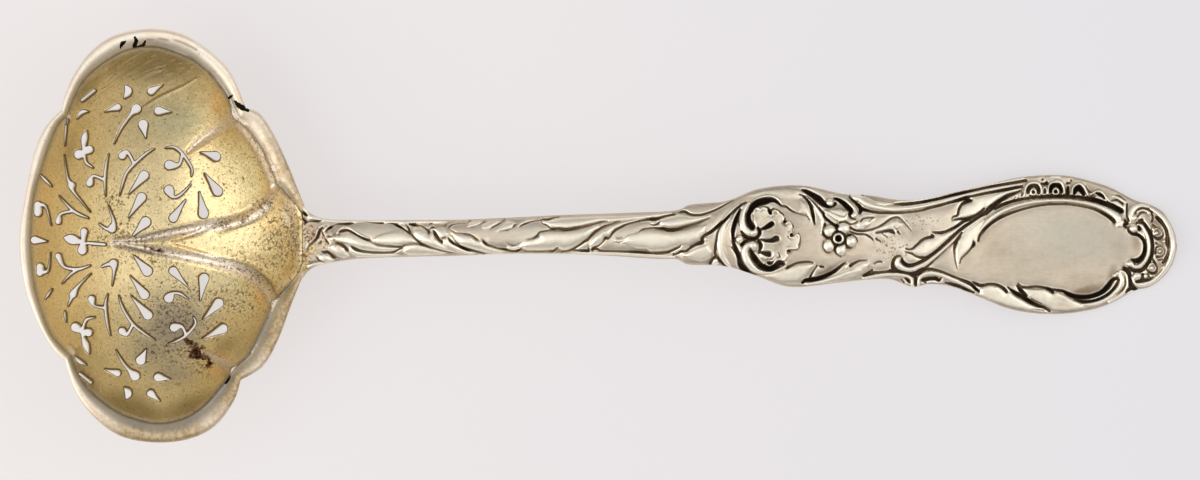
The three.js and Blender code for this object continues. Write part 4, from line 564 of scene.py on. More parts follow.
    [(1092.6, 195, 0.6), (1096.6, 196, 0.6)],
    [(1112.4, 200.6, 0.7), (1117.9, 200, 0.8), (1123.6, 204, 0.9)],
    [(1117, 195, 0.5), (1121, 196.4, 0.7), (1126.5, 200, 0.5)],
    [(1068.6, 187, 1.1), (1068, 194.6, 1.7)], [(1091.6, 197, 1.2), (1095, 197.4, 1)],
    [(1024.6, 180.3, 1.1)], [(1043, 179.3, 1)], [(1071.7, 180.3, 0.9)],
    [(1014.4, 198.8, 0.6), (1016, 196.6, 0.7)], [(1018, 197.8, 0.6), (1019.4, 195, 0.6)],
]
# Rings: (x, y, radius, half width) of the dark lines round the flower's eye and the eye itself.
RING_CUTS_PX = [(837.5, 238.5, 6.9, 1), (837.5, 238.5, 1.2, 1.8)]
# Each ridge is (height share, [(x, y, half width), ...]).
RIDGES_PX = [
    # Root and shank
    (0.5, [(304.4, 230.4, 0.6), (302.6, 233.6, 0.7), (301, 237.4, 0.5)]),
    (0.8, [(321, 225.6, 0.8), (318.6, 227.4, 1.3), (316, 231, 1.4), (314.6, 235.6, 1.4), (311.6, 239.8, 1.3),
           (307.4, 243.4, 1.2), (305, 247, 0.9)]),
    (0.8, [(336, 233, 0.8), (339, 229.4, 1.3), (343, 227.8, 1.4), (348, 228.2, 1.3), (353, 231.2, 1.1),
           (360, 235.4, 1), (367, 238.4, 0.7)]),
    (1.0, [(298, 205, 1), (303, 210.6, 1.6), (308, 216.6, 2), (315, 218.6, 1.8), (325, 220.6, 1.4),
           (345, 221.8, 1.1), (372, 220.8, 1), (400, 222.6, 1), (425, 221.8, 1), (445, 222.4, 1)]),
    (0.8, [(300, 274, 1), (305, 268.4, 1.4), (310, 265, 1.5), (318, 263.4, 1.4), (326, 264, 1),
           (340, 261.8, 0.8)]),
    (0.7, [(476, 255.2, 0.8), (500, 254, 1), (530, 254, 1), (560, 254.2, 1.2), (590, 253.4, 1.5),
           (615, 253.6, 1.5), (640, 255, 1.5), (660, 256.2, 1.5), (673, 257, 1)]),
    # Knop: collar and scrolls
    (0.9, [(738, 205, 1), (730, 212, 2), (723, 222, 3), (719.6, 233, 3.6), (719, 246, 3.4), (721.6, 257, 2.8),
           (729, 267, 1.6)]),
    (0.8, [(742, 206, 0.8), (735, 213, 1.1), (731.2, 222, 1.3), (730, 231, 1.3), (731, 239, 1.3),
           (734, 246, 1)]),
    (1.2, [(748, 203, 1), (744, 208, 2.4), (741.4, 215, 3.2), (741, 222, 3.5), (742.6, 228, 3.8),
           (747, 231.8, 4), (752.5, 232, 4.6)]),
    (0.7, [(745.5, 219, 0.8), (746.3, 211, 1), (750, 204.6, 1.1), (755.6, 199, 1.2), (763.8, 196.2, 1.2),
           (771.5, 196.3, 1.2), (777.5, 199.6, 1.1), (781, 204.6, 1)]),
    (1.2, [(752, 246, 4.8), (746.5, 246.5, 3.8), (743.8, 251, 3.8), (744.5, 257, 4), (747, 262, 4),
           (751, 267, 3.4), (757, 270.8, 2.2), (764, 272.4, 1.4), (771, 272.2, 1.2), (778.5, 269, 1.3),
           (784.4, 266, 1.6)]),
    # Knop: edge of the shell, and round its dark drops
    (0.95, [(749.3, 214.3, 0.7), (751.8, 212.9, 0.9), (753.6, 209.3, 0.9), (755.7, 208, 0.9),
            (759.3, 209.3, 0.9), (761.8, 208, 0.9), (764.3, 207.9, 0.9), (766.4, 210, 0.9),
            (766.8, 212.9, 0.9), (769.3, 215.4, 0.9), (771.6, 214.4, 0.9), (771.4, 211.8, 0.9),
            (773.9, 210.7, 0.9), (776.8, 211.4, 0.9), (778.2, 213.6, 0.9), (781.4, 215.7, 0.9),
            (782.5, 219.3, 0.9), (782.1, 222.1, 0.9), (785, 223.2, 0.9), (787.5, 221.8, 0.9),
            (790, 222.9, 0.9), (790.4, 226.1, 0.9), (791.8, 228.6, 0.9), (791.4, 231.4, 0.9),
            (788.2, 234.3, 0.9), (789.6, 237.5, 0.9), (793.6, 236.8, 0.9), (795.7, 234.6, 0.9),
            (797.9, 235.7, 0.9), (797.5, 241.4, 0.9), (796.1, 245, 0.9), (796.4, 247.9, 0.9),
            (792.1, 248.6, 0.9), (787.1, 248.9, 0.9), (785, 250.4, 0.9), (785, 253.6, 0.9),
            (786.4, 255.7, 0.9), (782.1, 260.4, 0.9), (777.9, 259.6, 0.9), (775, 260.7, 0.9),
            (772.1, 264.3, 0.9), (769.3, 265.7, 0.9), (766.4, 264.6, 0.9), (765, 262.5, 0.9),
            (761.4, 263.9, 0.7)]),
    (0.9, [(762, 226, 0.6), (766, 223, 0.8), (769.4, 220.6, 0.9), (773, 221.2, 0.9), (774.2, 224.4, 0.9),
           (771.6, 227.8, 0.8), (766, 230, 0.6)]),
    (0.9, [(762, 237.9, 0.6), (770.7, 236.1, 0.8), (775, 235, 0.9), (778.6, 236.2, 0.9), (780, 239.4, 0.9),
           (777.9, 242.4, 0.9), (772.1, 243.4, 0.8), (765, 242.4, 0.6)]),
    (0.9, [(762, 249, 0.6), (768, 249.8, 0.9), (771.8, 252, 0.9), (772.9, 255, 0.9), (770.7, 257.7, 0.9),
           (766, 257.2, 0.7)]),
    # Leaves above the flower
    (0.8, [(803, 193.6, 0.9), (808, 198, 1.3), (813.6, 204.6, 1.7), (818, 211.4, 1.9), (821.4, 218, 2),
           (821.8, 226, 1.9), (820.6, 233, 1.3)]),
    (0.9, [(834, 196.6, 0.9), (841, 199, 1.6), (847.6, 203, 2), (852.4, 208, 2.2), (855.2, 213.4, 2.2)]),
    (0.5, [(824, 211, 0.8), (831, 216, 1.4), (839, 220.6, 1)]),
    # Upper border strips
    (1.0, [(852, 195.6, 2.2), (858, 198, 3), (866, 203, 3.4), (875, 206.4, 2.8), (890, 208.8, 2.4),
           (905, 208.2, 2.4), (920, 206, 2.4), (940, 201.6, 2.2), (955, 197.6, 2), (970, 193.8, 1.6),
           (990, 189.6, 1.6), (1010, 186, 1.4), (1022, 184, 1.2)]),
    (0.6, [(895, 202.2, 0.9), (915, 200.2, 1.1), (938, 196, 1.1), (960, 190.4, 1.1), (985, 185, 1.1),
           (1010, 180.6, 1.1), (1024, 178.2, 1)]),
    # Leaf below the flower
    (0.9, [(863, 278, 1.2), (880, 275, 1.5), (895, 274.2, 1.6), (905, 275.6, 1.7), (911, 279, 1.8),
           (912, 286, 1.6)]),
    (0.6, [(806, 284, 1), (822, 281.4, 1.8), (838, 277, 2.4), (850, 272.6, 2.6), (860, 270.4, 2)]),
    # Stem
    (1.3, [(897.6, 259.6, 2.6), (897, 264, 3.4), (902, 268.3, 3.6), (909, 269.4, 3.4), (917, 267.8, 3),
           (926, 263, 2.6), (935, 256.4, 2.4), (945, 248, 2.2), (955, 239, 2), (965, 229.8, 1.8),
           (975, 221.8, 1.4), (985, 215, 1)]),
    # Cartouche frame
    (1.2, [(977.4, 242, 1.2), (979, 236.5, 1.8), (982, 229, 2.2), (988, 221, 2.5), (996.6, 214.5, 2.5),
           (1006, 209.6, 2.3), (1017.4, 205.4, 2.1), (1029.7, 202.4, 2), (1042, 200.8, 1.9), (1056, 200, 1.9),
           (1070, 200.4, 1.9), (1081, 201.8, 2), (1091, 203.8, 2.2), (1101.5, 207.2, 2.6), (1111, 212, 3.2),
           (1118.4, 217.5, 3.8), (1119.6, 223.5, 3.8)]),
    # Lower border
    (0.9, [(917.5, 286, 1.6), (918.8, 279, 2), (923, 274.6, 2.2), (931, 273, 2), (941, 275, 2),
           (953, 279.6, 2), (966, 285.4, 2), (977, 291.8, 1.4)]),
    (0.6, [(944, 286.6, 0.9), (958, 289.6, 1), (972, 295, 0.9)]),
    (1.1, [(1115.4, 276, 1.8), (1119, 273.6, 2.4), (1122, 277.4, 2.8), (1122.6, 283, 2.8),
           (1119.8, 288.5, 2.8), (1114, 294.4, 2.6), (1106.6, 299.4, 2.4), (1096, 303.6, 2),
           (1084, 305, 1.4)]),
    (1.0, [(1121, 271, 1.4), (1126.4, 273.5, 1.6), (1128.6, 280, 1.7), (1128.2, 287, 1.8),
           (1124.5, 292.6, 1.8), (1118, 297.4, 1.8), (1110, 302, 1.6)]),
    (0.5, [(1075, 297.2, 0.6), (1083, 299.4, 0.7), (1093.3, 299, 0.8), (1103.5, 295, 0.9), (1110.7, 290, 0.9),
           (1115.3, 284, 0.8)]),
    (0.8, [(1129, 293.4, 0.9), (1132.6, 291.6, 1), (1137, 293, 0.9)]),
    # End: inner scroll, volute and outer strip
    (1.3, [(1139, 224.4, 1.3), (1144.4, 227.5, 2.2), (1148.2, 235, 2.5), (1149.8, 244, 2.6), (1149, 253, 2.6),
           (1146, 260.5, 2.6), (1141, 266, 2.6), (1135.5, 267, 2.2), (1131.6, 264.4, 3)]),
    (1.0, [(1130.6, 221.6, 1.8), (1131.4, 214, 3.2), (1134.6, 208.6, 3.2), (1142, 205.6, 1.8),
           (1149, 206.6, 1.5)]),
    (0.5, [(1138, 211.4, 1), (1144.4, 210, 1), (1151, 213, 1.2)]),
    (1.1, [(1151.4, 208.4, 1.4), (1158, 212.6, 2), (1165, 219.8, 2.3), (1170.4, 229, 2.5), (1173, 239, 2.7),
           (1173.4, 249, 2.7), (1171.4, 259, 2.7), (1166.6, 268.6, 2.7), (1159.6, 276.8, 2.6),
           (1151.6, 282.4, 2.5), (1142.5, 284.6, 2.3), (1135.6, 283, 2), (1132, 277.6, 1.4)]),
    # Upper border: arches
    (0.8, [(1024.5, 195, 0.8), (1025.6, 189, 1.1), (1027.6, 185, 1.3), (1031, 183, 1.4), (1035.5, 182.3, 1.5),
           (1039.6, 184, 1.4), (1041.4, 188, 1.1), (1041.6, 193.6, 0.9)]),
    (0.5, [(1043, 193.4, 0.6), (1043.4, 188.6, 0.8), (1045.4, 187, 0.8), (1047, 189, 0.7),
           (1047.2, 193, 0.6)]),
    (0.8, [(1048.4, 194, 0.8), (1049, 188, 1.1), (1051.4, 183.6, 1.4), (1057.3, 181.4, 1.6),
           (1061.8, 182.8, 1.6), (1064, 187, 1.4), (1065, 193, 1)]),
    (0.8, [(1072.6, 194, 0.8), (1073.4, 188, 1.1), (1076.6, 184.8, 1.4), (1081, 184, 1.6), (1085.4, 188, 1.6),
           (1088.6, 194.5, 1.3)]),
    (0.7, [(1091.5, 194, 1), (1097.3, 191.2, 1.4), (1101.8, 191.6, 1.4), (1106.4, 196.4, 1.3),
           (1110, 201, 1)]),
    (0.6, [(1114, 196, 1), (1120.4, 198.4, 1.4), (1126.6, 202.6, 1.2)]),
    (0.5, [(1003.6, 201.6, 0.7), (1012, 198.8, 0.8)]),
    (0.5, [(1013.4, 198, 0.7), (1017, 194.6, 0.8)]), (0.5, [(1017.6, 197, 0.6), (1021, 193.6, 0.7)]),
]
# Raised rings: (x, y, radius, half width, height share).
RINGS_PX = [
    (837.5, 238.5, 4.4, 1.5, 1.3), (1033.6, 191.8, 2.6, 0.9, 0.7), (1056, 191.4, 3, 1, 0.8),
    (1158.4, 232.6, 4.4, 1, 0.7), (1161, 251.4, 4, 0.9, 0.7), (1153, 268, 4.2, 1, 0.7),
]
# Balls and petals: (x, y, half length, half width, turn in degrees, height share).
SWELLS_PX = [
    (703.8, 239.2, 2.4, 2.4, 0, 0.8), (713.8, 262, 3.9, 3.9, 0, 1), (738.5, 239.2, 4.2, 4.2, 0, 1.4),
    (854.6, 197.4, 5.4, 3.4, -25, 0.9), (752.5, 232, 5, 5, 0, 1.2), (752, 246, 5.2, 5.2, 0, 1.2),
    (828.8, 202.7, 4.2, 4, 0, 1), (837, 201.5, 3, 2, -40, 0.7), (852.7, 214.4, 4, 4, 0, 1),
    (863.4, 222.8, 8, 4, 12, 0.7), (847, 266, 3, 2, 60, 0.6), (828.8, 230.8, 6.2, 6, 0, 1.1),
    (842.8, 228, 6.4, 6, 0, 1.1), (850.4, 241, 5.4, 6.2, 0, 1.1), (840.2, 249.4, 5.4, 6.4, 0, 1.1),
    (828, 245.6, 5.6, 6.6, 0, 1.1), (1134.3, 228.4, 4.6, 4.6, 0, 1.3), (1131.4, 264, 3.9, 3.9, 0, 1.2),
    (1138, 276.5, 4.7, 4.7, 0, 1.2), (1146.5, 276.3, 2.4, 2.4, 0, 0.8), (1135, 217.6, 3, 3, 0, 0.9),
    (1157, 233, 2.4, 2.4, 0, 0.9), (1160.8, 251.2, 2.1, 2.1, 0, 0.8), (1153, 268.2, 2.4, 2.4, 0, 0.9),
    (1165.6, 241, 2, 1.6, 0, 0.6), (1153.6, 229, 2, 1.4, 60, 0.6), (1164.6, 267, 2.4, 1.5, 50, 0.6),
    (1056, 176.6, 6, 1.6, 0, 0.3), (1122, 223, 3.4, 4.6, 0, 1),
]
# Raised shapes with a soft edge: (height, edge width, [(x, y), ...]).
PLATES_PX = [
    # Root and shank leaves
    (0.24, 6, [(339, 233), (346, 231.6), (352, 233.8), (360, 238), (368, 241.4), (376, 245.8), (390, 247.6),
               (400, 248), (394, 250.6), (384, 251.8), (370, 251.4), (360, 250), (353, 246.8), (346, 243.8),
               (337, 241.8), (329, 240), (327, 236.6), (333, 235)]),
    (0.22, 5, [(331, 243.4), (338, 245.2), (343, 248.2), (345.6, 252.6), (350, 256.4), (343, 258.4),
               (336.6, 256.6), (332, 252.4), (328, 247.6)]),
    (0.2, 4, [(349, 247), (354, 250.8), (362, 252.8), (375, 254), (392, 253.8), (400, 255.2), (390, 257),
              (370, 257.8), (356, 257.8), (350, 254), (347.4, 250)]),
    (0.22, 5, [(318, 255), (323, 253.6), (328, 256), (331.6, 259), (335, 260.8), (328, 263.4), (321, 262),
               (317, 258.6)]),
    (0.2, 3, [(324, 232.4), (322.4, 229.6), (324, 226.6), (328, 225.6), (326, 229), (325.4, 231.6)]),
    (0.2, 7, [(376, 236), (384, 233.4), (392, 231.8), (400, 231), (405, 232.4), (410.6, 236.4), (416, 242.2),
              (412, 242.8), (404, 244), (396, 245.8), (384, 245.2), (376, 243.6), (371, 240)]),
    (0.22, 6, [(403, 248.6), (407, 245.6), (414, 244.6), (420, 245.6), (427, 247.8), (436, 250.2), (446, 253),
               (440, 255), (424, 256), (408, 256), (402, 252.6)]),
    (0.26, 7, [(411, 229), (414, 227), (420, 227), (424, 229.6), (427.6, 234.6), (431.6, 232.4), (433.6, 238),
               (438, 242), (443, 246), (450, 249), (462, 253), (452, 252.6), (440, 249.8), (430, 246.6),
               (422, 243.4), (416, 239), (412, 234.6)]),
    (0.16, 4, [(430, 229.6), (433, 228.4), (442, 227), (446, 229), (447.4, 234), (446, 236.4), (441.4, 237.6),
               (438.6, 237), (436, 233.6), (433.6, 230.6)]),
    (0.28, 6, [(441.4, 239), (445.6, 237.6), (449, 242.2), (456, 246.6), (466, 251), (478, 254.2),
               (468, 254.8), (456, 252), (446, 247.8), (441.4, 243.8)]),
    (0.26, 7, [(448.4, 229.8), (453, 233.4), (462, 234.8), (470, 236.6), (475, 240.8), (480.6, 241.4),
               (484, 245.2), (490, 248), (498, 250.4), (508, 252.8), (498, 254), (484, 252.6), (472, 249.4),
               (460, 245.4), (456, 240), (451, 234)]),
    (0.16, 3, [(466, 226.6), (468, 223.4), (472, 221.6), (481, 221.2), (478, 224), (472, 226.4)]),
    (0.16, 4, [(484, 229), (480, 227.6), (482, 224.4), (487, 221.8), (500, 220), (496, 223.6), (490, 227)]),
    (0.2, 5, [(493, 231.6), (498, 228), (502, 224.4), (506, 221), (514, 221.6), (512, 226.6), (508, 229),
              (501, 230.4)]),
    (0.18, 3, [(516, 226.6), (519, 222.8), (526, 219.8), (536, 219), (530, 220.8), (523, 223.4),
               (518.4, 226)]),
    (0.3, 9, [(505, 246.4), (512, 246.8), (519, 245.4), (526, 240.8), (533, 239.2), (537.6, 236.8),
              (539, 233.4), (546, 232), (552, 231.4), (563, 231.6), (575, 230), (588, 226.8), (598, 224),
              (599, 227.6), (593, 231), (588.4, 235.6), (584, 239.4), (578, 243.4), (572, 247.4),
              (566, 250.2), (560, 250), (555.4, 247.6), (552, 249.8), (540, 250.6), (527, 250.4),
              (521, 248.6), (514, 249.8), (507, 249)]),
    (0.26, 6, [(541.4, 220.8), (545, 221.4), (552, 219.4), (560, 217.4), (600, 216), (640, 215), (672, 212.8),
               (668, 214.4), (650, 217.2), (630, 219.6), (612, 221.6), (600, 221), (590, 223), (578, 226),
               (566, 227.8), (556, 227), (549, 226), (544, 223.2)]),
    (0.3, 5, [(588.4, 251), (588.8, 244), (590.6, 239.6), (594, 235), (600, 230.6), (608, 226.8),
              (622, 222.2), (640, 218.6), (634, 221), (622, 224.6), (613.4, 229), (608.6, 235), (606, 236.2),
              (603, 236.6), (601, 240.6), (597, 244.4), (592, 246.6), (590.6, 251)]),
    (0.3, 9, [(626, 235.4), (634, 233.6), (640, 231), (648, 230), (658, 231), (670, 232.4), (684, 230),
              (698, 226), (706, 225), (704, 233), (698, 239.6), (688, 244), (680, 244.4), (674, 247),
              (666, 250.4), (656, 251.6), (649, 251.4), (645, 248.8), (636, 248.4), (629, 246), (623, 243),
              (614, 241.4), (612, 239), (618, 240), (623, 238.4)]),
    (0.26, 5, [(647.4, 221.4), (651.6, 223.2), (656.6, 220), (662, 218.4), (670, 216), (678, 214.2),
               (690, 216.6), (706, 216), (712, 214), (704, 219), (692, 222.8), (680, 225.8), (670, 227),
               (662, 225.8), (658, 223.6), (652, 224.4)]),
    (0.2, 4, [(690, 251), (698, 247.4), (706, 245), (711, 252), (710, 258), (700, 262), (688, 259),
              (682, 255.4)]),
    # Knop and end
    (0.22, 2, [(752, 212), (757, 208.5), (760, 210.5), (764, 208), (767, 210.5), (768.5, 215), (771.5, 216.5),
               (773, 213), (777, 212.5), (781, 215), (782, 219), (781, 223), (784.5, 225.5), (787, 222.5),
               (790, 223.5), (791, 227.5), (792, 230.5), (787.6, 233), (787, 237), (790, 239), (794, 236.5),
               (797.5, 236), (798, 244), (795.5, 248.5), (787, 248), (785.2, 252), (787, 256), (784.6, 260),
               (780, 261.6), (776, 259), (771, 262), (766, 260), (760, 258), (755, 250), (757, 240),
               (755, 228), (752, 222)]),
    (0.16, 5, [(848, 272), (856, 266), (862, 262.6), (869, 263), (867, 269), (859, 275.4), (846, 280.4),
               (830, 283.4), (816, 284), (826, 279.4), (838, 275.4)]),
    (0.16, 5, [(764, 276), (776, 271.6), (788, 268), (798, 264.8), (808, 264), (812.6, 265.2), (808.4, 272),
               (803, 278.6), (796, 281.6), (780, 282)]),
    (0.26, 5, [(849.6, 196.4), (852, 194.2), (858, 193.6), (864, 196), (874, 200.4), (892, 203.2), (884, 206),
               (868, 204.6), (857, 201)]),
    (0.16, 4, [(823, 211.6), (831, 209.4), (840, 208.6), (846, 211), (848.4, 215), (846, 220.4), (841, 222),
               (835, 221), (829, 217.4)]),
    (0.12, 4, [(799, 199.6), (805, 203), (808.6, 210), (810, 218), (806, 214.4), (798, 212.4)]),
    (0.14, 3, [(855, 228.6), (861, 222), (868, 218.4), (876, 217.6), (872, 222.4), (868, 226.4),
               (862, 229.6)]),
    (0.1, 3, [(872, 229.4), (882, 226), (890, 220.6), (897, 219.2), (903, 224), (897, 228.6), (889, 229.2),
              (880, 230.8)]),
    (0.14, 5, [(744, 196), (762, 190.4), (782, 188), (798, 189.6), (806, 196), (796, 198.6), (784, 199),
               (776, 195.6), (764, 193.6), (754, 196.6)]),
    (0.14, 5, [(724, 246), (725, 236), (728, 225), (733, 214), (729, 219), (723, 230), (721, 244),
               (723.4, 256), (729, 265), (727, 256)]),
    (0.2, 3, [(905, 250.5), (912, 249), (918, 244.6), (924, 240), (933, 237.6), (935, 233.8), (942, 234),
              (952, 230.2), (962, 224), (968, 221), (960, 228), (953, 234), (945, 241.6), (937, 249),
              (930, 254.6), (924, 257), (917, 256), (911, 252.6)]),
    (0.2, 3, [(953, 219), (958, 216.6), (959.5, 210.5), (962, 206), (966, 203.4), (971, 202), (973, 197.4),
              (985, 194.4), (1000, 192), (1018, 188.6), (1008, 193.4), (998, 199), (990, 205.6), (983, 209.6),
              (976, 214.5), (966, 217.4)]),
    (0.18, 3, [(958, 239.4), (962, 234), (968, 228.4), (976, 222), (983, 218), (988.6, 222), (982.6, 229),
               (979, 235.6), (977, 242.4), (974.6, 243), (971.5, 247.4), (966, 253), (960.6, 259), (958, 267),
               (956.2, 262), (955, 250)]),
    (0.2, 3, [(978, 292), (981, 288), (990, 285.6), (998, 286.8), (1004, 291), (1010, 292.6), (1018, 298),
              (1028, 303.5), (1038, 308), (1046, 311), (1030, 311), (1010, 306.6), (990, 300), (982, 296)]),
    (0.2, 3, [(1020, 288.6), (1030, 289), (1045, 289.6), (1053, 294), (1058, 292), (1066, 295.6),
              (1074, 300.5), (1082, 303.4), (1095, 303), (1104, 300), (1098, 305), (1084, 309), (1068, 311),
              (1054, 310.5), (1046, 306), (1036, 300.6), (1027, 295.5)]),
]

RIDGE_HEIGHT = 0.34
SWELL_HEIGHT = 0.42
# A groove's depth grows with its half width, from the least to the most.
GROOVE_LEAST_DEPTH = 0.1
GROOVE_DEPTH_SHARE = 1.3
GROOVE_MOST_DEPTH = 0.46
# Where its cut and its dark end, in half widths from its middle: full up to the first, none from the second.
CUT_SIDES = (0.3, 1.35)
DARK_SIDES = (0.5, 1.7)
LEAST_DARK = 0.1
DARK_SHARE = 5.4
# The surface sinks toward a groove from both sides: by this depth beside one of this half width, by more
# beside a wider one up to the most, and not beyond the cutoff, which counts in reaches.
SLACK_DEPTH = 0.14
SLACK_REACH = 0.5
SLACK_HALF_WIDTH = 0.15
SLACK_MOST = 1.3
SLACK_CUTOFF = 2.2

EDGE_ROUNDING = 0.35
ROOT_BLEND = 0.6
# The relief begins this far inside the handle's edge.
RELIEF_FADE = 0.25
BACK_CHAMFER = 0.35
# Soft patches on the rim and on the front of the handle, like the bowl's. Faded ones lighten the grooves.
RIM_PATCHES_PX = {
    "gilt": [(302, 240, 8, 26, 0, 1.5), (301, 264, 8, 8, 0, 1.2), (296, 205, 6, 12, 30, 0.7)],
    "tan": [(290, 165, 34, 60, 20, 1), (285, 325, 40, 60, -20, 1.4), (150, 440, 120, 24, 0, 1.1),
            (240, 395, 40, 40, 0, 1.2)],
}
HANDLE_PATCHES_PX = {
    "gilt": [(310, 250, 10, 5.5, 35, 1), (304, 257, 6, 9, 0, 1.1), (302, 268, 7, 7, 0, 1),
             (303, 219, 4, 6, 0, 0.8), (320, 245, 5, 5, 0, 0.6)],
    "tan": [(308, 234, 9, 11, 0, 1.2), (322, 238, 8, 12, 0, 0.8), (336, 238, 12, 14, 0, 0.45),
            (920, 222, 20, 10, 0, 0.28), (898, 250, 22, 11, 0, 0.28)],
    "pit": [(922, 222, 20, 10, 0, 0.65), (893, 248, 24, 12, 0, 0.65), (948, 234, 14, 12, 0, 0.4)],
    # These patches are painted highlights on the forms and on the ground.
    "painted_highlight": [(394, 238, 18, 6, 0, 1), (414, 249, 10, 3, 0, 0.8), (429, 243, 12, 5, -20, 0.8),
               (464, 242, 14, 5, -20, 0.8), (546, 240, 28, 8, 0, 1), (563, 223, 22, 4, 5, 0.9),
               (597, 237, 8, 8, 40, 0.8), (646, 240, 28, 9, 0, 1), (676, 221, 20, 4, 5, 0.9),
               (352, 246, 8, 4, -20, 0.6), (336, 252, 6, 4, -30, 0.6), (700, 250, 12, 7, 0, 0.7),
               (730, 222, 5, 18, 20, 0.5), (860, 272, 20, 6, 10, 0.6), (940, 246, 20, 5, 40, 0.6),
               (985, 202, 14, 6, 20, 0.7), (968, 236, 7, 12, 30, 0.7), (1010, 298, 20, 6, -20, 0.5),
               (640, 234, 60, 4, 0, 0.3), (898, 250, 26, 12, 0, 0.6), (925, 220, 20, 10, 0, 0.6),
               (880, 258, 16, 8, 0, 0.6), (790, 278, 22, 6, 5, 0.6), (506, 229, 36, 6, 0, 0.9),
               (380, 228, 26, 6, 0, 0.95)],
    "sheen": [(1078, 236, 46, 30, 0, 1), (1122, 244, 12, 26, 0, 0.7), (885, 222, 30, 10, 0, 0.5),
              (940, 262, 20, 14, 30, 0.4)],
    # The grime patches are tarnish and painted shade in the low ground between and under raised forms.
    "grime": [(312, 232, 8, 9, 0, 0.6), (328, 236, 12, 6, 0, 0.5), (334, 228, 12, 4, 10, 0.5),
              (1064, 192, 52, 9, -5, 1), (1158, 232, 9, 22, 12, 1), (1160, 254, 9, 22, -12, 1),
              (774, 236, 22, 28, 0, 0.75), (915, 232, 22, 14, 0, 0.5), (880, 246, 18, 10, 0, 0.4),
              (1138, 240, 7, 14, 0, 0.6), (1082, 297, 30, 6, 8, 0.6), (905, 266, 22, 8, 20, 0.4),
              (1104, 215, 26, 7, -24, 0.35), (1118, 300, 12, 6, 30, 0.4), (826, 271, 15, 5, 20, 0.9),
              (880, 266, 14, 5, 0, 0.4), (842, 209, 10, 5, -30, 0.6), (735, 232, 4, 14, 0, 0.6),
              (770, 262, 16, 7, 0, 0.6), (960, 190, 50, 4, 14, 0.3), (1030, 262, 56, 26, 0, 0.34),
              (1088, 291, 24, 6, 14, 1), (1112, 276, 5, 12, -20, 0.7), (1036, 288, 16, 4, 0, 0.5),
              (1084, 284, 30, 12, 0, 0.48), (752, 218, 9, 8, 0, 0.6), (772, 252, 12, 8, 0, 0.35),
              (1060, 305, 22, 5, 0, 0.4), (1118, 244, 12, 20, 0, 0.35), (996, 246, 30, 22, 0, 0.4)],
}
FADED_PX = [(1165, 240, 7, 26, 0, 0.55), (905, 222, 34, 12, 0, 0.3), (860, 262, 34, 10, 0, 0.2)]

# Steps to each span of the smooth lines
STROKE_STEPS = 6
LINE_STEPS = 5
GROOVE_STEPS = 4
MOUTH_STEPS = 24
EDGE_STEPS = 10
UNDERSIDE_STEPS = 12
RING_STEPS = 24

# Fields over the plan: their grid and margin, and how far each of them looks. Blurs count in grid steps.
GRID_STEP = 0.05
PLAN_MARGIN = 0.5
HOLE_REACH = 1.2
MOUTH_REACH = 1.6
HANDLE_REACH = 1.5
RIB_SPREAD = 1.5
CREST_BLUR = 4
SINK_BLUR = 13
# How steeply a soft patch fades.
PATCH_FALL = 0.8
# Thin drawn lines are full dark to the core, in half widths, and end at their spread.
LINE_CORE = 0.7
LINE_SPREAD = 1.7
CREASE_SPREAD = 2.5
SEAM_LINE_SPREAD = 2
# Search for a place's share of the way out: its furthest share and the number of halvings.
FURTHEST_SHARE = 1.1
SHARE_HALVINGS = 30

# Meshes: the spacing of their points and where the rows of points between the two faces lie.
BOWL_EDGE_SPACING = 0.16
BOWL_FRONT_SPACING = 0.2
BOWL_BACK_SPACING = 0.5
BOWL_WALL_SHARES = (0.14, 0.86)
HANDLE_EDGE_SPACING = 0.12
HANDLE_FRONT_SPACING = 0.105
HANDLE_BACK_SPACING = 0.6
HANDLE_WALL_SHARES = (0.3, 0.7)
NO_TRIANGLES = np.zeros((0, 3), int)
LATTICE_ROW_SHARE = 0.866
LATTICE_CLEARANCE = 0.55
# The shortest contour that is kept and the fewest points of its loop, and how many sides of an outline are
# looked at together.
LEAST_CONTOUR = 12
LEAST_LOOP = 8
OUTLINE_CHUNK = 8

# The stage: a floor just under the object, the dome's light, and the camera, which sees the plan's true size
# at one height.
FLOOR_SIZE = 16000
FLOOR_HEIGHT = -0.02
HORIZON_LIGHT = 0.24
ZENITH_LIGHT = 0.88
CAMERA_LENS = 500
FILM_WIDTH = 36
TRUE_SIZE_HEIGHT = 9
FRAME_WIDTH_PX = 1200
FRAME_HEIGHT_PX = 480
CAMERA_SHIFT_PX = 1.1
# Lamps: name, place and size in metres, and watts.
LAMPS = [
    ("left_softbox", (-0.92, -0.42, 0.75), (1.2, 1.5), 9),
    ("right_softbox", (1.0, 0.1, 0.75), (1.2, 1.4), 4),
]
DOME_TONE = (0.97, 0.97, 1.0, 1)
# Gilding by patch, laid one over the other in this order. The bright tone is a painted highlight, the brown
# one tarnish and painted shade, the worn one worn gilding and a painted sheen.
GILT_TONES = {
    "bright": (1.0, 0.93, 0.6, 1), "green": (0.68, 0.63, 0.37, 1), "orange": (0.98, 0.7, 0.34, 1),
    "brown": (0.34, 0.26, 0.115, 1), "grey": (0.44, 0.39, 0.3, 1), "worn": (1.0, 0.92, 0.78, 1),
}


# Rows of numbers and places


def place(row):
    """Picture units to millimetres in the first two columns; any half width is scaled too."""
    out = np.array(row, float)
    out[..., 0] = (out[..., 0] - MIDDLE_PX[0]) * PX_LENGTH
    out[..., 1] = (MIDDLE_PX[1] - out[..., 1]) * PX_LENGTH
    out[..., 2:3] = out[..., 2:3] * PX_LENGTH
    return out


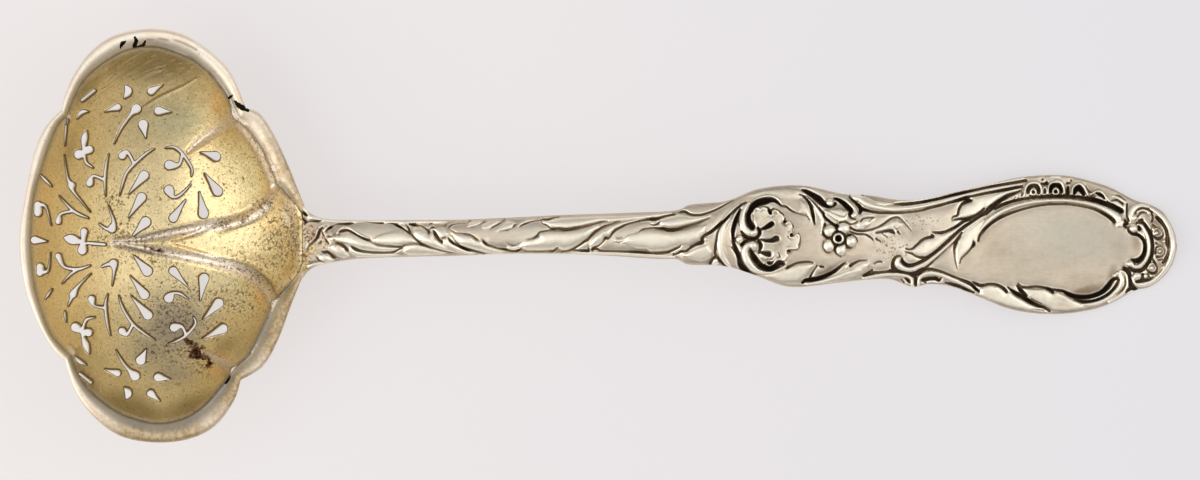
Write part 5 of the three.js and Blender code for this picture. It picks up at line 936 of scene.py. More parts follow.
def smooth_row(row, steps=STROKE_STEPS):
    """A smooth line through a row of entries, with steps to each span."""
    row = np.asarray(row, float)
    if len(row) < 2:
        return row
    before = np.vstack([row[:1], row[:-1]])[:-1]
    after = np.vstack([row[1:], row[-1:]])[1:]
    here, there = row[:-1], row[1:]
    t = (np.arange(steps) / steps)[None, :, None]
    leave = ((there - before) / 2)[:, None]
    meet = ((after - here) / 2)[:, None]
    p, q = here[:, None], there[:, None]
    line = (2 * p - 2 * q + leave + meet) * t**3 + (3 * q - 3 * p - 2 * leave - meet) * t**2 + leave * t + p
    return np.vstack([line.reshape(-1, row.shape[1]), row[-1:]])


def smoothstep(x, low, high):
    t = np.clip((x - low) / (high - low), 0, 1)
    return t * t * (3 - 2 * t)


def turned(dx, dy, degrees):
    """Offsets along and across a direction of the plan."""
    turn = np.radians(degrees)
    return dx * np.cos(turn) + dy * np.sin(turn), dy * np.cos(turn) - dx * np.sin(turn)


# Fields over the plan


class Plan:
    """A grid over a rectangle of the plan, in millimetres."""

    def __init__(self, low, high, step):
        self.low, self.step = np.array(low, float), step
        self.x = np.arange(low[0], high[0] + step, step)
        self.y = np.arange(low[1], high[1] + step, step)

    def filled(self, value):
        return np.full((len(self.x), len(self.y)), float(value))

    def window(self, points, margin):
        """The part of the grid round some points, as slices with its x and y."""
        low = (points.min(0) - margin - self.low) / self.step
        high = (points.max(0) + margin - self.low) / self.step
        i0, j0 = np.maximum(np.floor(low).astype(int), 0)
        i1 = min(int(high[0]) + 2, len(self.x))
        j1 = min(int(high[1]) + 2, len(self.y))
        return (slice(i0, max(i1, i0)), slice(j0, max(j1, j0))), self.x[i0:i1, None], self.y[None, j0:j1]

    def at(self, field, places):
        """The field between its grid points, at places."""
        at = (np.asarray(places)[:, :2] - self.low) / self.step
        i = np.clip(at[:, 0].astype(int), 0, len(self.x) - 2)
        j = np.clip(at[:, 1].astype(int), 0, len(self.y) - 2)
        u, v = np.clip(at[:, 0] - i, 0, 1), np.clip(at[:, 1] - j, 0, 1)
        low = field[i, j] * (1 - u) + field[i + 1, j] * u
        high = field[i, j + 1] * (1 - u) + field[i + 1, j + 1] * u
        return low * (1 - v) + high * v


def stroke_values(x, y, marks, rule):
    """The least of rule(distance, half width) over the segments of a stroke."""
    least = None
    ends = zip(marks[:-1], marks[1:]) if len(marks) > 1 else [(marks[0], marks[0])]
    for a, b in ends:
        dx, dy = b[0] - a[0], b[1] - a[1]
        square = max(dx * dx + dy * dy, 1e-12)
        share = np.clip(((x - a[0]) * dx + (y - a[1]) * dy) / square, 0, 1)
        distance = np.hypot(x - a[0] - share * dx, y - a[1] - share * dy)
        value = rule(distance, a[2] + share * (b[2] - a[2]))
        least = value if least is None else np.minimum(least, value)
    return least


def in_half_widths(distance, half_width):
    return distance / half_width


def lay_stroke(plan, marks, reach, rule):
    """A stroke's values near it, with the window they belong to."""
    window, x, y = plan.window(marks[:, :2], reach)
    return window, stroke_values(x, y, marks, rule)


def inside_of(plan, outline):
    """True where a grid point is inside a closed outline."""
    inside = np.zeros((len(plan.x), len(plan.y)), bool)
    x = plan.x
    for a, b in zip(outline, np.roll(outline, -1, 0)):
        if a[0] == b[0]:
            continue
        low, high = sorted((a[0], b[0]))
        columns = np.nonzero((x >= low) & (x < high))[0]
        level = a[1] + (x[columns] - a[0]) * (b[1] - a[1]) / (b[0] - a[0])
        inside[columns] ^= plan.y[None, :] > level[:, None]
    return inside


def outline_field(plan, outline, reach):
    """Distance to a closed outline, up to reach, positive inside it."""
    distance = plan.filled(reach)
    marks = np.column_stack([outline, np.zeros(len(outline))])
    marks = np.vstack([marks, marks[:1]])
    for k in range(0, len(marks) - 1, OUTLINE_CHUNK):
        window, near = lay_stroke(plan, marks[k : k + OUTLINE_CHUNK + 1], reach, lambda d, r: d)
        distance[window] = np.minimum(distance[window], near)
    return np.where(inside_of(plan, outline), distance, -distance)


# Meshes from a field


# By which corners of a grid square are inside: the sides where a line comes in and goes out.
CORNER_PAIRS = {
    1: [(3, 0)], 2: [(0, 1)], 3: [(3, 1)], 4: [(1, 2)], 5: [(3, 0), (1, 2)], 6: [(0, 2)], 7: [(3, 2)],
    8: [(2, 3)], 9: [(2, 0)], 10: [(0, 1), (2, 3)], 11: [(2, 1)], 12: [(1, 3)], 13: [(1, 0)], 14: [(0, 3)],
}


def contour_loops(plan, field):
    """The closed lines where a field crosses zero, the positive side on their right."""
    inside = field > 0
    code = inside[:-1, :-1] + 2 * inside[1:, :-1] + 4 * inside[1:, 1:] + 8 * inside[:-1, 1:]
    following = {}
    for i, j in zip(*np.nonzero((code > 0) & (code < 15))):
        sides = ((i, j, 0), (i + 1, j, 1), (i, j + 1, 0), (i, j, 1))
        for start, end in CORNER_PAIRS[code[i, j]]:
            following[sides[start]] = sides[end]
    loops = []
    while following:
        start, here = following.popitem()
        loop = [start]
        while here != start:
            loop.append(here)
            here = following.pop(here)
        keys = np.array(loop)
        i, j, way = keys.T
        i2, j2 = i + (way == 0), j + (way == 1)
        value, value2 = field[i, j], field[i2, j2]
        share = value / (value - value2)
        x = plan.low[0] + (i + share * (way == 0)) * plan.step
        y = plan.low[1] + (j + share * (way == 1)) * plan.step
        loops.append(np.column_stack([x, y]))
    return loops


def even_loop(loop, spacing):
    """A closed line with its points evenly spaced."""
    closed = np.vstack([loop, loop[:1]])
    travel = np.concatenate([[0], np.cumsum(np.hypot(*np.diff(closed, axis=0).T))])
    count = max(LEAST_LOOP, round(travel[-1] / spacing))
    at = np.arange(count) / count * travel[-1]
    return np.column_stack([np.interp(at, travel, closed[:, 0]), np.interp(at, travel, closed[:, 1])])


def lattice(plan, field, spacing):
    """Evenly spread places inside the field's positive part, clear of its edge."""
    x = np.arange(plan.x[0], plan.x[-1], spacing)
    y = np.arange(plan.y[0], plan.y[-1], spacing * LATTICE_ROW_SHARE)
    grid_x, grid_y = np.meshgrid(x, y, indexing="ij")
    grid_x = grid_x + (np.arange(len(y)) % 2)[None, :] * spacing / 2
    places = np.column_stack([grid_x.ravel(), grid_y.ravel()])
    return places[plan.at(field, places) > spacing * LATTICE_CLEARANCE]


def fill_loops(plan, field, loops, spacing):
    """Triangles between loops: (places, faces), the loops' points first."""
    rim = np.vstack(loops)
    edges = []
    start = 0
    for loop in loops:
        edges += [(start + k, start + (k + 1) % len(loop)) for k in range(len(loop))]
        start += len(loop)
    places = np.vstack([rim, lattice(plan, field, spacing)])
    made = delaunay_2d_cdt([Vector(p) for p in places], edges, [], 0, 1e-7, True)
    source = np.array([ids[0] if ids else -1 for ids in made[3]])
    faces = source[np.array(made[2])]
    faces = faces[(faces >= 0).all(1)]
    middle = places[faces].mean(1)
    faces = faces[plan.at(field, middle) > 0]
    a, b, c = places[faces].transpose(1, 0, 2)
    turn = (b[:, 0] - a[:, 0]) * (c[:, 1] - a[:, 1]) - (b[:, 1] - a[:, 1]) * (c[:, 0] - a[:, 0])
    faces[turn < 0] = faces[turn < 0][:, ::-1]
    return places, faces


def wall_faces(loops, starts):
    """Quads that join rows of the loops' points, each row's first point given by starts, top first."""
    faces = []
    offset = 0
    for loop in loops:
        here = offset + np.arange(len(loop))
        there = offset + (np.arange(len(loop)) + 1) % len(loop)
        for upper, lower in zip(starts[:-1], starts[1:]):
            faces.append(np.column_stack([upper + here, lower + here, lower + there, upper + there]))
        offset += len(loop)
    return np.vstack(faces)


def mesh_object(name, points, triangles, quads, values=None):
    """A smooth mesh from points in millimetres, with named values at its points."""
    mesh = bpy.data.meshes.new(name)
    mesh.from_pydata((points * MM).tolist(), [], [*triangles.tolist(), *quads.tolist()])
    mesh.shade_smooth()
    for key, value in (values or {}).items():
        layer = mesh.attributes.new(key, "FLOAT", "POINT")
        layer.data.foreach_set("value", np.asarray(value, np.float32))
    made = bpy.data.objects.new(name, mesh)
    bpy.context.scene.collection.objects.link(made)
    return made


def above_table(points):
    points[:, 2] = np.maximum(points[:, 2], 0)
    return points


def closed_object(name, front, back, loops, shares, values, bulge=0):
    """A closed mesh of a front and a back, each (points, faces), with a wall between their loops.

    The wall has rows of its own at some shares of the way, which stand out by the bulge."""
    (front_points, front_faces), (back_points, back_faces) = front, back
    count = sum(map(len, loops))
    rows = [front_points[:count] * (1 - s) + back_points[:count] * s - bulge for s in shares]
    first = [0, *(len(front_points) + k * count for k in range(len(rows) + 1))]
    triangles = np.vstack([front_faces, back_faces[:, ::-1] + first[-1]])
    points = above_table(np.vstack([front_points, *rows, back_points]))
    return mesh_object(name, points, triangles, wall_faces(loops, first), values)


# The bowl's surface


LOWEST = place(LOWEST_PX)
TABLE_STEPS = 1440
TABLE_DIRECTIONS = np.arange(TABLE_STEPS) / TABLE_STEPS * TURN
SOFTENING_STEPS = TABLE_STEPS // 10


def mouth_line(lobes):
    """The mouth's edge as a closed line, lobe by lobe and straight across the handle's root."""
    rows = [smooth_row(place(lobe), MOUTH_STEPS)[:-1] for lobe in lobes]
    ends = place([lobes[-1][-1], lobes[0][0]])
    return np.vstack([*rows, smooth_row(ends, MOUTH_STEPS)[:-1]])


def polar(points):
    offset = points[:, :2] - LOWEST[:2]
    return np.arctan2(offset[:, 1], offset[:, 0]) % TURN, np.hypot(*offset.T)


def radius_table(line):
    direction, radius = polar(line)
    return np.interp(TABLE_DIRECTIONS, direction, radius, period=TURN)


OUTER_LINE = mouth_line(OUTER_LOBES_PX)
INNER_LINE = mouth_line(INNER_LOBES_PX)
OUTER_TABLE = radius_table(OUTER_LINE)
INNER_TABLE = radius_table(INNER_LINE)
SOFT_TABLE = np.convolve(
    np.concatenate([INNER_TABLE[-SOFTENING_STEPS:], INNER_TABLE, INNER_TABLE[:SOFTENING_STEPS]]),
    np.full(2 * SOFTENING_STEPS + 1, 1 / (2 * SOFTENING_STEPS + 1)),
    "valid",
)
ROOT_X = place(OUTER_LOBES_PX[0][0])[0]
FAR_X = OUTER_LINE[:, 0].min()
HALF_MOUTH = OUTER_LINE[:, 1].max()


def within_turn(direction, limits):
    """1 between the two middle limits of a direction, falling to 0 at the outer two."""
    turn = (direction + np.pi) % TURN - np.pi
    return smoothstep(turn, *limits[:2]) * (1 - smoothstep(turn, *limits[2:]))


def look_up(table, direction):
    return np.interp(direction % TURN, TABLE_DIRECTIONS, table, period=TURN)


def spot(direction, radius):
    """(x, y) of the places at a distance from the lowest point."""
    return LOWEST[0] + radius * np.cos(direction), LOWEST[1] + radius * np.sin(direction)


def lip_height(x, y):
    along = (ROOT_X - x) / (ROOT_X - FAR_X)
    return ROOT_LIP_HEIGHT + (FAR_LIP_HEIGHT - ROOT_LIP_HEIGHT) * along - SIDE_LIP_DROP * y / HALF_MOUTH


def wall_rise(t):
    return 1 - (1 - (t * WALL_REACH_SHARE) ** WALL_FULLNESS) ** (1 / WALL_FULLNESS)


def plan_radius(direction, t):
    soft, sharp = look_up(SOFT_TABLE, direction), look_up(INNER_TABLE, direction)
    return t * (soft + (sharp - soft) * t**3)


def rim_drop(direction):
    root, second_lip = within_turn(direction, ROOT_TURN), within_turn(direction, LIP_TURN)
    return RIM_DROP * (1 - ROOT_DROP_SAVING * root - LIP_DROP_SAVING * second_lip)


def inner_points(direction, t):
    """Places on the sheet's plain inner side, in a direction and at a share of the way out."""
    lip = lip_height(*spot(direction, look_up(INNER_TABLE, direction)))
    rise = lip - rim_drop(direction) - SHEET
    x, y = spot(direction, plan_radius(direction, t))
    return np.column_stack([x, y, SHEET + rise * wall_rise(t) / wall_rise(1)])


def sheet_normals(direction, t, felt=0.015):
    near = np.maximum(t, felt * 2)
    along = inner_points(direction, near + felt) - inner_points(direction, near - felt)
    across = inner_points(direction + felt, near) - inner_points(direction - felt, near)
    normal = np.cross(along, across)
    return normal / np.linalg.norm(normal, axis=1)[:, None]


def shares_at(places):
    """Direction and share of the way out, for places of the plan."""
    direction, radius = polar(places)
    low, high = np.zeros(len(places)), np.full(len(places), FURTHEST_SHARE)
    for _ in range(SHARE_HALVINGS):
        t = (low + high) / 2
        short = plan_radius(direction, t) < radius
        low, high = np.where(short, t, low), np.where(short, high, t)
    return direction, low


def drop_stroke(drop):
    """A drop as a stroke: its head, its neck halfway and the end of its tail."""
    x, y, r, tail_x, tail_y = drop
    neck = ((x + tail_x) / 2, (y + tail_y) / 2, r * DROP_NECK_SHARE)
    return [(x, y, r), neck, (tail_x, tail_y, DROP_TAIL_PX)]


def hole_field(plan, reach):
    """Distance to the nearest hole, up to reach, negative in it."""
    field = plan.filled(reach)
    for stroke in [*STROKES_PX, *map(drop_stroke, DROPS_PX)]:
        marks = smooth_row(place(stroke))
        window, near = lay_stroke(plan, marks, reach + marks[:, 2].max(), lambda d, r: d - r)
        field[window] = np.minimum(field[window], near)
    return field


def rib_share(plan, ribs):
    """1 on the ribs' middle lines, falling to 0 at their sides."""
    field = plan.filled(0)
    for rib in ribs:
        marks = smooth_row(place(rib))
        window, near = lay_stroke(plan, marks, RIB_SPREAD * marks[:, 2].max(), in_half_widths)
        field[window] = np.maximum(field[window], np.clip(1 - (near / RIB_SPREAD) ** 2, 0, 1) ** 2)
    return field


def patch_value(places, patches):
    """How strongly places lie in soft patches."""
    value = np.zeros(len(places))
    for x, y, half_length, half_width, degrees, strength in patches:
        offset = (places[:, :2] - place((x, y))[:2]) / PX_LENGTH
        u, v = turned(*offset.T, degrees)
        spread = (u / half_length) ** 2 + (v / half_width) ** 2
        value = np.maximum(value, strength * np.exp(-spread * PATCH_FALL))
    return value


def line_value(places, rows, spread=LINE_SPREAD):
    """How dark the places are under thin drawn lines, 0 to 1."""
    value = np.zeros(len(places))
    for row in rows:
        marks = smooth_row(place(row), LINE_STEPS)
        near = stroke_values(places[:, 0], places[:, 1], marks, in_half_widths)
        value = np.maximum(value, 1 - smoothstep(near, LINE_CORE, spread))
    return value


def inner_surface(plan, places, mouth, lift):
    """The sheet's inner side with its ribs, second lip and creases, rolled over into the handle's root."""
    direction, t = shares_at(places)
    inward = plan.at(mouth, places)
    second_lip = LIP_HEIGHT * np.exp(-(((inward - LIP_PLACE) / LIP_HALF_WIDTH) ** 2))
    bump = plan.at(lift, places) + second_lip * within_turn(direction, LIP_TURN)
    bump = bump - CREASE_DEPTH * line_value(places, CREASES_PX, CREASE_SPREAD)
    points = inner_points(direction, t) + sheet_normals(direction, t) * bump[:, None]
    near = np.clip(1 - inward / ROLL_REACH, 0, 1)
    share = ROLL_SHARE * near**2 * within_turn(direction, ROOT_TURN)
    points[:, 2] += (lip_height(*points[:, :2].T) - ROOT_DROP - points[:, 2]) * share
    return above_table(points)


def outer_surface(plan, places, holes):
    """The sheet's plain outer side, nearer to the inner one beside a hole."""
    direction, t = shares_at(places)
    full = smoothstep(plan.at(holes, places), 0, HOLE_EDGE_REACH)
    depth = SHEET * (HOLE_EDGE_SHARE + (1 - HOLE_EDGE_SHARE) * full)
    return above_table(inner_points(direction, t) - sheet_normals(direction, t) * depth[:, None])


def wall_bulge(plan, edge, field, holes):
    """How far the wall under an edge stands out: a little in a hole, not at all at the mouth."""
    slope = np.column_stack([
        plan.at(field, edge + [GRID_STEP, 0]) - plan.at(field, edge - [GRID_STEP, 0]),
        plan.at(field, edge + [0, GRID_STEP]) - plan.at(field, edge - [0, GRID_STEP]),
        np.zeros(len(edge)),
    ])
    slope /= np.maximum(np.linalg.norm(slope, axis=1), 1e-9)[:, None]
    at_mouth = plan.at(holes, edge) > CLEAR_OF_HOLES
    return np.where(at_mouth, 0, HOLE_ROUNDING)[:, None] * slope


def bowl_values(plan, places, inside, holes, mouth, ribs):
    """What the bowl's material needs to know at each point. Only the distance to a hole holds outside too."""
    direction, inward = polar(places)[0], plan.at(mouth, places)
    second_lip = within_turn(direction, LIP_TURN) * (1 - smoothstep(inward, *LIP_WEAR_FADE))
    off_root = 1 - within_turn(direction, ROOT_TURN)
    values = {
        "rib": np.maximum(plan.at(ribs, places), second_lip) * inside,
        "hole": np.clip(plan.at(holes, places), 0, HOLE_REACH),
        "inside": inside,
        "edge": (1 - smoothstep(inward, *EDGE_WEAR_FADE)) * off_root * inside,
        # Painted shade along the creases.
        "crease": line_value(places, CREASES_PX) * inside,
    }
    values.update((key, patch_value(places, patches) * inside) for key, patches in PATCHES_PX.items())
    return values


def build_bowl():
    low, high = INNER_LINE[:, :2].min(0) - PLAN_MARGIN, INNER_LINE[:, :2].max(0) + PLAN_MARGIN
    plan = Plan(low, high, GRID_STEP)
    holes = hole_field(plan, HOLE_REACH)
    mouth = outline_field(plan, INNER_LINE[::4, :2], MOUTH_REACH)
    field = np.minimum(holes, mouth)
    contours = [loop for loop in contour_loops(plan, field) if len(loop) > LEAST_CONTOUR]
    loops = [even_loop(loop, BOWL_EDGE_SPACING) for loop in contours]
    edge = np.vstack(loops)
    inner, inner_faces = fill_loops(plan, field, loops, BOWL_FRONT_SPACING)
    outer, outer_faces = fill_loops(plan, field, loops, BOWL_BACK_SPACING)
    main, notch = rib_share(plan, MAIN_RIBS_PX), rib_share(plan, NOTCH_RIBS_PX)
    lift = np.maximum(main * MAIN_RIB_HEIGHT, notch * NOTCH_RIB_HEIGHT)
    front = inner_surface(plan, inner, mouth, lift), inner_faces
    back = outer_surface(plan, outer, holes), outer_faces
    places = np.vstack([inner, edge, edge, outer])
    inside = np.repeat([1.0, 0.0], [len(inner) + len(edge), len(edge) + len(outer)])
    values = bowl_values(plan, places, inside, holes, mouth, np.maximum(main, notch))
    bulge = wall_bulge(plan, edge, field, holes)
    return closed_object("pierced_bowl", front, back, loops, BOWL_WALL_SHARES, values, bulge)


# The rim


def rim_rings(direction):
    """Rows of the strip's points round the mouth, and how much painted shade greys each row.

    They go from the outer edge over the lip to the sheet's inner edge and then under it."""
    outer, inner = look_up(OUTER_TABLE, direction), look_up(INNER_TABLE, direction)
    lip = lip_height(*spot(direction, outer))
    root, second_lip = within_turn(direction, ROOT_TURN), within_turn(direction, LIP_TURN)
    rings, cove = [], []
    for share, drop in RIM_SECTION:
        top = drop * (1 - LIP_RIM_SAVING * second_lip) if share > INNER_SHARE else drop
        top = top + (ROOT_DROP - top) * root
        x, y = spot(direction, outer - share * (outer - inner))
        rings.append(np.column_stack([x, y, lip - top]))
        cove.append(smoothstep(share, *COVE_SHARES) * (1 - root) * (1 - second_lip))
    all_out = np.ones(len(direction))
    edge = inner_points(direction, all_out)
    under = edge - SHEET * sheet_normals(direction, all_out)
    return [*rings, edge, under], [*cove, cove[-1], 0 * root]


def ring_faces(count, size):
    """Quads between closed rings of points, the last ring joined to the first."""
    here = np.arange(size)
    there = (here + 1) % size
    starts = np.arange(count + 1) % count * size
    pairs = zip(starts[:-1], starts[1:])
    return np.vstack([np.column_stack([a + here, a + there, b + there, b + here]) for a, b in pairs])


def build_rim():
    rings, cove = rim_rings(np.arange(RIM_STEPS) / RIM_STEPS * TURN)
    points = np.vstack(rings)
    on_top = np.repeat([0 < k < len(rings) - 1 for k in range(len(rings))], RIM_STEPS)
    values = {
        "cove": np.concatenate(cove),
        **{key: patch_value(points, patches) for key, patches in RIM_PATCHES_PX.items()},
        "seam": line_value(points, SEAM_PX) * on_top,
        "line": line_value(points, SEAM_LINES_PX, SEAM_LINE_SPREAD) * on_top,
    }
    return mesh_object("lip_band", points, NO_TRIANGLES, ring_faces(len(rings), RIM_STEPS), values)


# The handle


UPPER_EDGE = smooth_row(place(UPPER_EDGE_PX), EDGE_STEPS)
LOWER_EDGE = smooth_row(place(LOWER_EDGE_PX), EDGE_STEPS)
HANDLE_START = ROOT_X
HANDLE_END = UPPER_EDGE[-1, 0]
ROOT_UNDERSIDE = ROOT_LIP_HEIGHT - ROOT_THICKNESS
UNDERSIDE = smooth_row(UNDERSIDE_SHARES, UNDERSIDE_STEPS)


def handle_section(x, y):
    """(front, underside) heights of the plain handle."""
    share = (x - HANDLE_START) / (HANDLE_END - HANDLE_START)
    shank = smoothstep(share, 0, SHANK_FROM_SHARE)
    thin = smoothstep(share, THINNING_FROM_SHARE, THIN_FROM_SHARE)
    thickness = ROOT_THICKNESS + (SHANK_THICKNESS - ROOT_THICKNESS) * shank
    thickness = thickness + (END_THICKNESS - thickness) * thin
    underside = ROOT_UNDERSIDE * np.interp(share, UNDERSIDE[:, 0], UNDERSIDE[:, 1])
    left, right = np.interp(x, *UPPER_EDGE.T), np.interp(x, *LOWER_EDGE.T)
    across = np.clip((y - right) / (left - right) * 2 - 1, -1, 1)
    side = ROOT_SIDE_SHARE + (SIDE_SHARE - ROOT_SIDE_SHARE) * smoothstep(share, 0, ROOT_SIDE_FADE)
    return underside + thickness * (side + (1 - side) * (1 - across**2)), underside


def ring_row(x, y, radius, half_width):
    """A closed circle as a row of (x, y, half width)."""
    turn = np.linspace(0, TURN, RING_STEPS + 1)
    x, y = x + radius * np.cos(turn), y + radius * np.sin(turn)
    return np.column_stack([x, y, np.full(len(turn), half_width)])


def raise_stroke(plan, relief, marks, height):
    window, near = lay_stroke(plan, marks, marks[:, 2].max(), in_half_widths)
    round_top = np.sqrt(np.clip(1 - near**2, 0, 1))
    relief[window] = np.maximum(relief[window], height * round_top)


def raise_swell(plan, relief, swell):
    x, y, half_length, half_width, degrees, share = swell
    middle = place((x, y))
    reach = max(half_length, half_width) * PX_LENGTH
    window, grid_x, grid_y = plan.window(middle[None, :], reach)
    u, v = turned(grid_x - middle[0], grid_y - middle[1], degrees)
    u, v = u / (half_length * PX_LENGTH), v / (half_width * PX_LENGTH)
    dome = np.sqrt(np.clip(1 - u * u - v * v, 0, 1))
    relief[window] = np.maximum(relief[window], SWELL_HEIGHT * share * dome)


def raise_plate(plan, relief, plate):
    height, edge, outline = plate
    edge = edge * PX_LENGTH
    inward = np.clip(outline_field(plan, place(outline)[:, :2], edge) / edge, 0, 1)
    relief[:] = np.maximum(relief, height * np.sqrt(1 - (1 - inward) ** 2))


def groove_depth(half_width):
    return np.minimum(GROOVE_LEAST_DEPTH + GROOVE_DEPTH_SHARE * half_width, GROOVE_MOST_DEPTH)


def groove_dark(half_width):
    return np.minimum(1, LEAST_DARK + DARK_SHARE * half_width)


def groove_slack(distance, half_width):
    most = SLACK_DEPTH * np.minimum(SLACK_MOST, half_width / SLACK_HALF_WIDTH)
    return most * np.exp(-((distance / SLACK_REACH) ** 2))


def cut_groove(plan, layers, marks):
    """Cuts a groove, darkens it with black tarnish and painted shade, and lets the surface fall gently toward
    it from both sides.
    """
    widest = marks[:, 2].max()
    rules = {
        "cut": (CUT_SIDES[1] * widest, lambda d, r: -groove_depth(r) * (1 - smoothstep(d / r, *CUT_SIDES))),
        "dark": (DARK_SIDES[1] * widest, lambda d, r: -groove_dark(r) * (1 - smoothstep(d / r, *DARK_SIDES))),
        "slack": (SLACK_CUTOFF * SLACK_REACH, lambda d, r: -groove_slack(d, r)),
    }
    for key, (reach, rule) in rules.items():
        window, near = lay_stroke(plan, marks, reach, rule)
        layers[key][window] = np.maximum(layers[key][window], -near)


def groove_rows():
    yield from (smooth_row(row, GROOVE_STEPS) for row in CUTS_PX)
    yield from (ring_row(*ring) for ring in RING_CUTS_PX)


def handle_relief(plan):
    """Raised forms of the struck ornament, the same with its grooves, and how dark the grooves are."""
    relief = plan.filled(0)
    for plate in PLATES_PX:
        raise_plate(plan, relief, plate)
    for share, row in RIDGES_PX:
        raise_stroke(plan, relief, smooth_row(place(row)), RIDGE_HEIGHT * share)
    for *ring, share in RINGS_PX:
        raise_stroke(plan, relief, place(ring_row(*ring)), RIDGE_HEIGHT * share)
    for swell in SWELLS_PX:
        raise_swell(plan, relief, swell)
    layers = {key: plan.filled(0) for key in ("cut", "dark", "slack")}
    for row in groove_rows():
        cut_groove(plan, layers, place(row))
    return relief, relief - layers["slack"] - layers["cut"], layers["dark"]


def blur(field, steps):
    """A box blur of a field, twice over."""
    for _ in range(2):
        for axis in (0, 1):
            border = [(steps + 1, steps) if side == axis else (0, 0) for side in (0, 1)]
            total = np.cumsum(np.pad(field, border, "edge"), axis)
            size = field.shape[axis]
            high = np.take(total, np.arange(size) + 2 * steps + 1, axis)
            low = np.take(total, np.arange(size), axis)
            field = (high - low) / (2 * steps + 1)
    return field


def off_edge(plan, places, field):
    """0 at the handle's edge and 1 where its relief is full."""
    return smoothstep(plan.at(field, places), 0, RELIEF_FADE)


def handle_front(plan, places, field, height):
    """Points of the front: the plain section, its edge rounded, and the relief on it except at the root."""
    inward = np.clip(plan.at(field, places) / EDGE_ROUNDING, 0, 1)
    drop = EDGE_ROUNDING * (1 - np.sqrt(1 - (1 - inward) ** 2))
    top, _ = handle_section(*places.T)
    relief = plan.at(height, places) * off_edge(plan, places, field)
    at_root = 1 - smoothstep(places[:, 0] - HANDLE_START, 0, ROOT_BLEND)
    return np.column_stack([places, top + relief * (1 - at_root) - drop * (1 - at_root)])


def handle_back(places, edge_count):
    """Points of the plain back, the first of them on its chamfered edge."""
    _, base = handle_section(*places.T)
    on_edge = np.arange(len(places)) < edge_count
    return np.column_stack([places, base + np.where(on_edge, BACK_CHAMFER, 0)])


def front_values(plan, places, field, relief):
    """What the handle's material needs to know at the points of the front."""
    raised, height, dark = relief
    fade = off_edge(plan, places, field)
    values = {
        # How dark the grooves are: black tarnish and painted shade.
        "hollow": plan.at(dark, places) * (1 - patch_value(places, FADED_PX)),
        # Crests are lightened partly as wear and partly as painted highlight.
        "crest": plan.at(height - blur(height, CREST_BLUR), places) * fade,
        # Low ground beside raised forms takes a brown haze, partly tarnish and partly painted shade.
        "sink": plan.at(blur(height, SINK_BLUR) - height, places) * fade,
        "raised": plan.at(raised, places),
    }
    values.update((key, patch_value(places, patches)) for key, patches in HANDLE_PATCHES_PX.items())
    return values


def build_handle():
    outline = np.vstack([LOWER_EDGE, UPPER_EDGE[::-1]])
    plan = Plan(outline.min(0) - PLAN_MARGIN, outline.max(0) + PLAN_MARGIN, GRID_STEP)
    field = outline_field(plan, outline, HANDLE_REACH)
    relief = handle_relief(plan)
    loops = [even_loop(loop, HANDLE_EDGE_SPACING) for loop in contour_loops(plan, field)]
    edge_count = sum(map(len, loops))
    front_places, front_faces = fill_loops(plan, field, loops, HANDLE_FRONT_SPACING)
    back_places, back_faces = fill_loops(plan, field, loops, HANDLE_BACK_SPACING)
    front = handle_front(plan, front_places, field, relief[1]), front_faces
    back = handle_back(back_places, edge_count), back_faces
    plain = np.zeros(2 * edge_count + len(back_places))
    known = front_values(plan, front_places, field, relief)
    values = {key: np.concatenate([value, plain]) for key, value in known.items()}
    return closed_object("struck_handle", front, back, loops, HANDLE_WALL_SHARES, values)


# Materials


